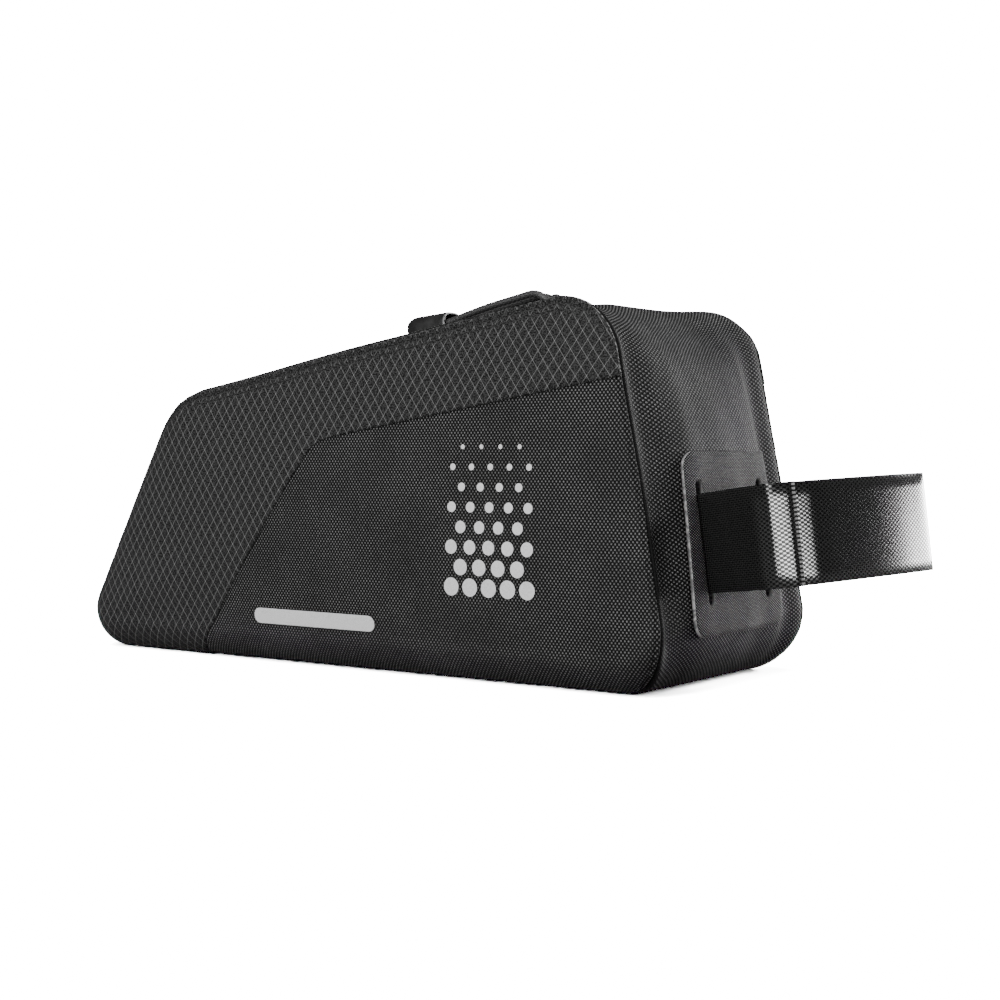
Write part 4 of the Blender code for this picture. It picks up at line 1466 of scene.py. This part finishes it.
def slider_mesh():
    half = SLIDER_LENGTH / 2
    bm = block(
        (EYE_PLACE - half, -SLIDER_WIDTH / 2, PLATE_TOP - SLIDER_PLATE),
        (EYE_PLACE + half, SLIDER_WIDTH / 2, PLATE_TOP),
        Matrix.Identity(4), bevel=SLIDER_PLATE * PLATE_ROUNDING, segments=3,
    )
    middle = EYE_LENGTH / 2 + EYE_WIRE / 2
    height = EYE_ROOM + EYE_WIRE / 2
    bar = bmesh.ops.create_circle(bm, segments=EYE_SIDES, radius=0.5)["verts"]
    bmesh.ops.scale(bm, vec=(EYE_WIRE, EYE_WIDTH, 1.0), verts=bar)
    bmesh.ops.translate(bm, vec=(EYE_PLACE - middle, 0.0, PLATE_TOP - SLIDER_PLATE / 2), verts=bar)
    foot_edges = [edge for edge in bm.edges if set(edge.verts) <= set(bar)]
    top, ring = next_ring(bm, foot_edges)
    straight = height - middle + SLIDER_PLATE / 2
    bmesh.ops.translate(bm, vec=(0.0, 0.0, straight), verts=top)
    centre = Vector((EYE_PLACE, 0.0, PLATE_TOP + height - middle))
    bent = bmesh.ops.spin(
        bm, geom=ring, cent=centre, axis=(0.0, 1.0, 0.0), angle=math.pi, steps=EYE_STEPS
    )["geom_last"]
    feet = next_ring(bm, [item for item in bent if isinstance(item, bmesh.types.BMEdge)])[0]
    bmesh.ops.translate(bm, vec=(0.0, 0.0, -straight), verts=feet)
    bmesh.ops.transform(bm, matrix=top_frame(), verts=bm.verts)
    bmesh.ops.recalc_face_normals(bm, faces=bm.faces)
    return bm


add_piece("slider_body", slider_mesh(), (SLIDER_PAINT,), "painted_slider", "zip_slider")

# %% [markdown]
# ## The corded pull
# A braided cord goes through the bridge and both its ends sit in a moulded cap. The cord is a
# tube of rings carried along its way, and its braid is real relief: two families of strands
# wind round it in opposite senses, and where one passes over the other the ring stands out.

# %% The cord
CORD_ROUTE = (
    (0.0400, -0.0022, 0.0012),
    (0.0345, -0.0023, 0.0015),
    (0.0285, -0.0023, 0.0022),
    (0.0210, -0.0023, 0.0029),
    (0.0150, -0.0023, 0.0032),
    (0.0095, -0.0023, 0.0034),
    (0.0058, -0.0023, 0.0035),
    (0.0032, -0.0023, 0.0027),
    (0.0014, -0.0020, 0.0010),
    (0.0000, 0.0000, 0.0000),
    (0.0014, 0.0020, 0.0008),
    (0.0032, 0.0023, 0.0022),
    (0.0058, 0.0023, 0.0031),
    (0.0095, 0.0023, 0.0030),
    (0.0150, 0.0023, 0.0027),
    (0.0210, 0.0023, 0.0024),
    (0.0285, 0.0023, 0.0018),
    (0.0345, 0.0023, 0.0013),
    (0.0400, 0.0022, 0.0012),
)
CORD_SIDES = 24
BRAID_PITCH = 0.0030
BRAID_CARRIERS = 4
BRAID_DEPTH = 0.00012
RINGS_PER_GAP = 22


def cord_point(along, side, height):
    eye = PLATE_TOP + EYE_ROOM - CLEARANCE - CORD_DIAMETER / 2
    return top_frame() @ Vector((EYE_PLACE - along, side, eye + height))


def braid_height(turn, run):
    """From -1 to 1: which of the two families of strands is on top here, and how far."""
    wind = 2 * math.pi * run / BRAID_PITCH
    return math.cos(BRAID_CARRIERS * turn + wind) * math.cos(BRAID_CARRIERS * turn - wind)


def braided_tube(points):
    bm = bmesh.new()
    flat = bm.verts.layers.float_vector.new("flat")
    index, ring, edges = numbered_ring(bm, CORD_SIDES, cap_ends=True)
    run = 0.0
    up = Vector((0.0, 0.0, 1.0))
    for number, point in enumerate(points):
        way = (points[min(number + 1, len(points) - 1)] - points[max(number - 1, 0)]).normalized()
        aside = way.cross(up).normalized()
        over = aside.cross(way)
        if number:
            ring, edges = next_ring(bm, edges)
            run += (point - points[number - 1]).length
        for vert in ring:
            turn = 2 * math.pi * vert[index] / CORD_SIDES
            out = CORD_DIAMETER / 2 - BRAID_DEPTH * (0.5 - 0.5 * braid_height(turn, run))
            vert.co = point + (aside * math.cos(turn) + over * math.sin(turn)) * out
            vert[flat] = (run, turn * CORD_DIAMETER / 2, 0.0)
    bmesh.ops.contextual_create(bm, geom=edges)
    bmesh.ops.recalc_face_normals(bm, faces=bm.faces)
    unwrap(bm)
    return bm


# %% [markdown]
# The braid's finish is the plain weave again, at the pitch of its strands, and almost black.

# %% Braid cloth and the finished cord
def braid_cloth():
    material, tree, shader = new_material("Braided cord", 0.55, sheen=0.1)
    vector = uv_vector(tree)
    weave = place_group(
        tree, WEAVE, Vector=vector, **{
            "Along Pitch": 0.0015, "Across Pitch": 0.00078, "Widen": 1.0, "Wander": 0.00008,
            "Dot Size": 0.7,
        }
    )
    colour = mix_colour(tree, weave.outputs["Dots"], grey(0.003), grey(0.035))
    tree.links.new(colour, shader.inputs["Base Color"])
    add_bump(tree, shader, weave.outputs["Height"], 0.00010, 0.7)
    return material


cord_path = spline([cord_point(*point) for point in CORD_ROUTE], RINGS_PER_GAP)
cord = add_piece(
    "pull_braid", braided_tube(cord_path), (braid_cloth(),), "braided_cord", "pull_cord"
)

# %% [markdown]
# ## The cap
# The cap is a flattened bullet: round at its nose and open where the cord goes in. Rings
# extruded from the nose to the mouth follow a quarter ellipse and then run straight, and the
# mouth is turned in on itself to make the socket.

# %% The cap
CAP_LENGTH = 0.0155
CAP_WIDTH = 0.0086
CAP_DEPTH = 0.0068
CAP_SOCKET = 0.0055
CAP_TILT = 0.55
CAP_NOSE = 0.34
CAP_WALL = 0.0006
CAP_SQUARENESS = 3.0
CAP_SIDES = 48
NOSE_STEPS = 12
CapRing = namedtuple("CapRing", "share size")
CAP_INSIDE = 1 - 2 * CAP_WALL / CAP_DEPTH
CAP_BODY = (
    CapRing(share=0.600, size=1.0),
    CapRing(share=0.800, size=1.0),
    CapRing(share=0.965, size=1.0),
    CapRing(share=0.985, size=0.985),
    CapRing(share=1.000, size=0.955),
    CapRing(share=1.000, size=CAP_INSIDE + 0.02),
    CapRing(share=0.985, size=CAP_INSIDE),
    CapRing(share=0.720, size=CAP_INSIDE * 0.98),
)


def cap_section(turn, size):
    """A point of the cap's rounded oblong section."""
    c, s = math.cos(turn), math.sin(turn)
    power = 2 / CAP_SQUARENESS
    across = math.copysign(abs(c) ** power, c) * CAP_WIDTH / 2 * size
    upward = math.copysign(abs(s) ** power, s) * CAP_DEPTH / 2 * size
    return across, upward


def cap_mesh():
    along, _, height = CORD_ROUTE[0]
    mouth = cord_point(along - CAP_SOCKET, 0.0, height)
    tilt = top_frame().to_euler().y * CAP_TILT
    axes = Matrix.Translation(mouth) @ Matrix.Rotation(tilt, 4, "Y")
    bm = bmesh.new()
    index, ring, edges = numbered_ring(bm, CAP_SIDES, cap_ends=True)
    sections = []
    for step in range(1, NOSE_STEPS + 1):
        angle = step / NOSE_STEPS * math.pi / 2
        sections.append(CapRing(share=CAP_NOSE * (1 - math.cos(angle)), size=math.sin(angle)))
    sections += CAP_BODY
    for number, (share, size) in enumerate(sections):
        if number:
            ring, edges = next_ring(bm, edges)
        for vert in ring:
            across, upward = cap_section(2 * math.pi * vert[index] / CAP_SIDES, size)
            vert.co = (-CAP_LENGTH * (1 - share), across, upward)
    bmesh.ops.contextual_create(bm, geom=edges)
    bmesh.ops.recalc_face_normals(bm, faces=bm.faces)
    bmesh.ops.transform(bm, matrix=axes, verts=bm.verts)
    return bm


cap = add_piece("cap_moulding", cap_mesh(), (CAP_PLASTIC,), "moulded_cap", "pull_cap")

# %% [markdown]
# ## Reflective prints
# The near side carries two pale reflective prints. They are plain ones: a slim rounded bar low
# down, and a field of round dots that shrink upwards near the tall end. Each is a thin sheet,
# dropped on to the panel along Y and held just off it.

# %% Print the marks
PRINT_LIFT = 0.00012
BAR_PLACE = Vector((-0.0065, 0.0134))
BAR_SIZE = (0.0430, 0.0042)
BAR_GRID = (60, 12)
BAR_FLAT_END = 0.0001
DOTS_PLACE = Vector((0.0405, 0.0245))
DOT_COLUMNS = 5
DOT_ROWS = 8
DOT_PITCH = 0.0058
DOT_SIDES = 28
LARGEST_DOT = 0.0023
SMALLEST_DOT = 0.0006


def reflective_print():
    material, tree, shader = new_material("Reflective print", 0.45)
    vector = tree.nodes.new("ShaderNodeTexCoord").outputs["Object"]
    beads = ramp(tree, noise_value(tree, vector, 3500.0, 2.0), 0.35, 0.65)
    tree.links.new(mix_colour(tree, beads, grey(0.66), grey(0.80)), shader.inputs["Base Color"])
    add_bump(tree, shader, beads, 0.00002, 0.5)
    return material


REFLECTIVE = reflective_print()


def drop_on_panel(bm):
    """Moves each point along Y to just off the near panel."""
    panel = bpy.data.objects["panel_cloth_right"]
    tree = BVHTree.FromObject(panel, bpy.context.evaluated_depsgraph_get())
    for vert in bm.verts:
        start = Vector((vert.co.x, -BASE_WIDTH, vert.co.z))
        hit = tree.ray_cast(start, Vector((0.0, 1.0, 0.0)))[0]
        vert.co = hit - Vector((0.0, PRINT_LIFT, 0.0))
    turn_out(bm, Vector((0.0, -1.0, 0.0)))


bar = rounded_sheet(*BAR_SIZE, BAR_SIZE[1] / 2 - BAR_FLAT_END, BAR_GRID)
for vert in bar.verts:
    vert.co = (BAR_PLACE.x + vert.co.x, 0.0, BAR_PLACE.y + vert.co.y)
drop_on_panel(bar)
add_piece("reflective_bar", bar, (REFLECTIVE,), "woven_nylon")

dots = bmesh.new()
for row in range(DOT_ROWS):
    for column in range(DOT_COLUMNS - row % 2):
        share = row / (DOT_ROWS - 1)
        radius = LARGEST_DOT + (SMALLEST_DOT - LARGEST_DOT) * share
        x = DOTS_PLACE.x + (column + (row % 2) / 2) * DOT_PITCH
        z = DOTS_PLACE.y + row * DOT_PITCH * math.sqrt(3) / 2
        made = bmesh.ops.create_circle(dots, segments=DOT_SIDES, radius=radius, cap_ends=True)
        for vert in made["verts"]:
            vert.co = (x + vert.co.x, 0.0, z + vert.co.y)
drop_on_panel(dots)
add_piece("reflective_dots", dots, (REFLECTIVE,), "woven_nylon")

# %% [markdown]
# ## Studio
# The photo has a white sweep and soft light, mostly from above and from the right. A sun with
# a wide angle lights the floor evenly and gives the soft shadow under the bag. Three soft
# panels shape the cloth, and two long strips show only in reflections, for the streaks on the
# strap. The floor and the world look white to the camera and light the bag only a little.

# %% Floor, world and lights
FLOOR_SIZE = 6.0
FLOOR_SEEN = 26.0
FLOOR_LIT = 0.30


def seen_or_lit(tree, lit, seen):
    """Two shaders in one: the camera sees one, and the bag gets the light of the other."""
    choice = tree.nodes.new("ShaderNodeMixShader")
    rays = tree.nodes.new("ShaderNodeLightPath")
    tree.links.new(rays.outputs["Is Camera Ray"], choice.inputs[0])
    tree.links.new(lit.outputs[0], choice.inputs[1])
    tree.links.new(seen.outputs[0], choice.inputs[2])
    return choice.outputs[0]


def pale_floor():
    """A floor that looks burnt out to the camera, as in the photo, but throws back little."""
    material, tree, shader = new_material("Pale floor", 0.9, specular=0.0)
    shader.inputs["Base Color"].default_value = grey(FLOOR_LIT)
    seen = tree.nodes.new("ShaderNodeBsdfDiffuse")
    seen.inputs["Color"].default_value = grey(FLOOR_SEEN)
    surface = tree.nodes["Material Output"].inputs["Surface"]
    tree.links.new(seen_or_lit(tree, shader, seen), surface)
    return material


floor_mesh = bmesh.new()
bmesh.ops.create_grid(floor_mesh, x_segments=2, y_segments=2, size=FLOOR_SIZE)
floor = add_piece("floor", floor_mesh, (pale_floor(),), None)

WORLD_FILL = 0.12
BACKDROP = 24.0
world = bpy.data.worlds.new("studio")
bpy.context.scene.world = world
world.use_nodes = True
world_tree = world.node_tree
world_tree.nodes.clear()
sky = []
for strength in (WORLD_FILL, BACKDROP):
    background = world_tree.nodes.new("ShaderNodeBackground")
    background.inputs["Color"].default_value = grey(1.0)
    background.inputs["Strength"].default_value = strength
    sky.append(background)
world_out = world_tree.nodes.new("ShaderNodeOutputWorld")
world_tree.links.new(seen_or_lit(world_tree, *sky), world_out.inputs[0])

# %% [markdown]
# A light is aimed by turning its -Z axis to a target. What makes a strip show only in
# reflections is its diffuse visibility, which is off.

# %% Lights
SUN_STRENGTH = 2.0
SUN_ANGLE = math.radians(50)
SUN_PLACE = (0.08, -0.18, 0.98)
SoftPanel = namedtuple("SoftPanel", "name place aim size power only_shine")
SOFT_PANELS = (
    SoftPanel("key_panel", (0.08, -0.55, 0.50), (0.06, 0.0, 0.06), (0.26, 0.26), 2.7, False),
    SoftPanel("front_panel", (-0.05, -0.95, 0.35), (0.0, 0.0, 0.05), (0.50, 0.40), 4.6, False),
    SoftPanel("end_panel", (0.54, 0.62, 0.42), (0.10, 0.0, 0.06), (0.24, 0.24), 5.6, False),
    SoftPanel("front_shine", (0.72, -0.76, 0.07), (0.13, 0.0, 0.05), (2.40, 0.24), 48.0, True),
    SoftPanel("back_shine", (0.54, 0.81, 0.02), (0.14, 0.0, 0.04), (0.78, 0.24), 26.0, True),
)


def aim_light(light, place, target):
    obj = bpy.data.objects.new(light.name, light)
    obj.location = place
    obj.rotation_mode = "QUATERNION"
    obj.rotation_quaternion = (Vector(target) - Vector(place)).to_track_quat("-Z", "Y")
    bpy.context.scene.collection.objects.link(obj)
    return obj


sun = bpy.data.lights.new("sun", "SUN")
sun.energy = SUN_STRENGTH
sun.angle = SUN_ANGLE
aim_light(sun, SUN_PLACE, (0.0, 0.0, 0.0))
for panel in SOFT_PANELS:
    light = bpy.data.lights.new(panel.name, "AREA")
    light.shape = "RECTANGLE"
    light.size, light.size_y = panel.size
    light.energy = panel.power
    aim_light(light, panel.place, panel.aim).visible_diffuse = not panel.only_shine
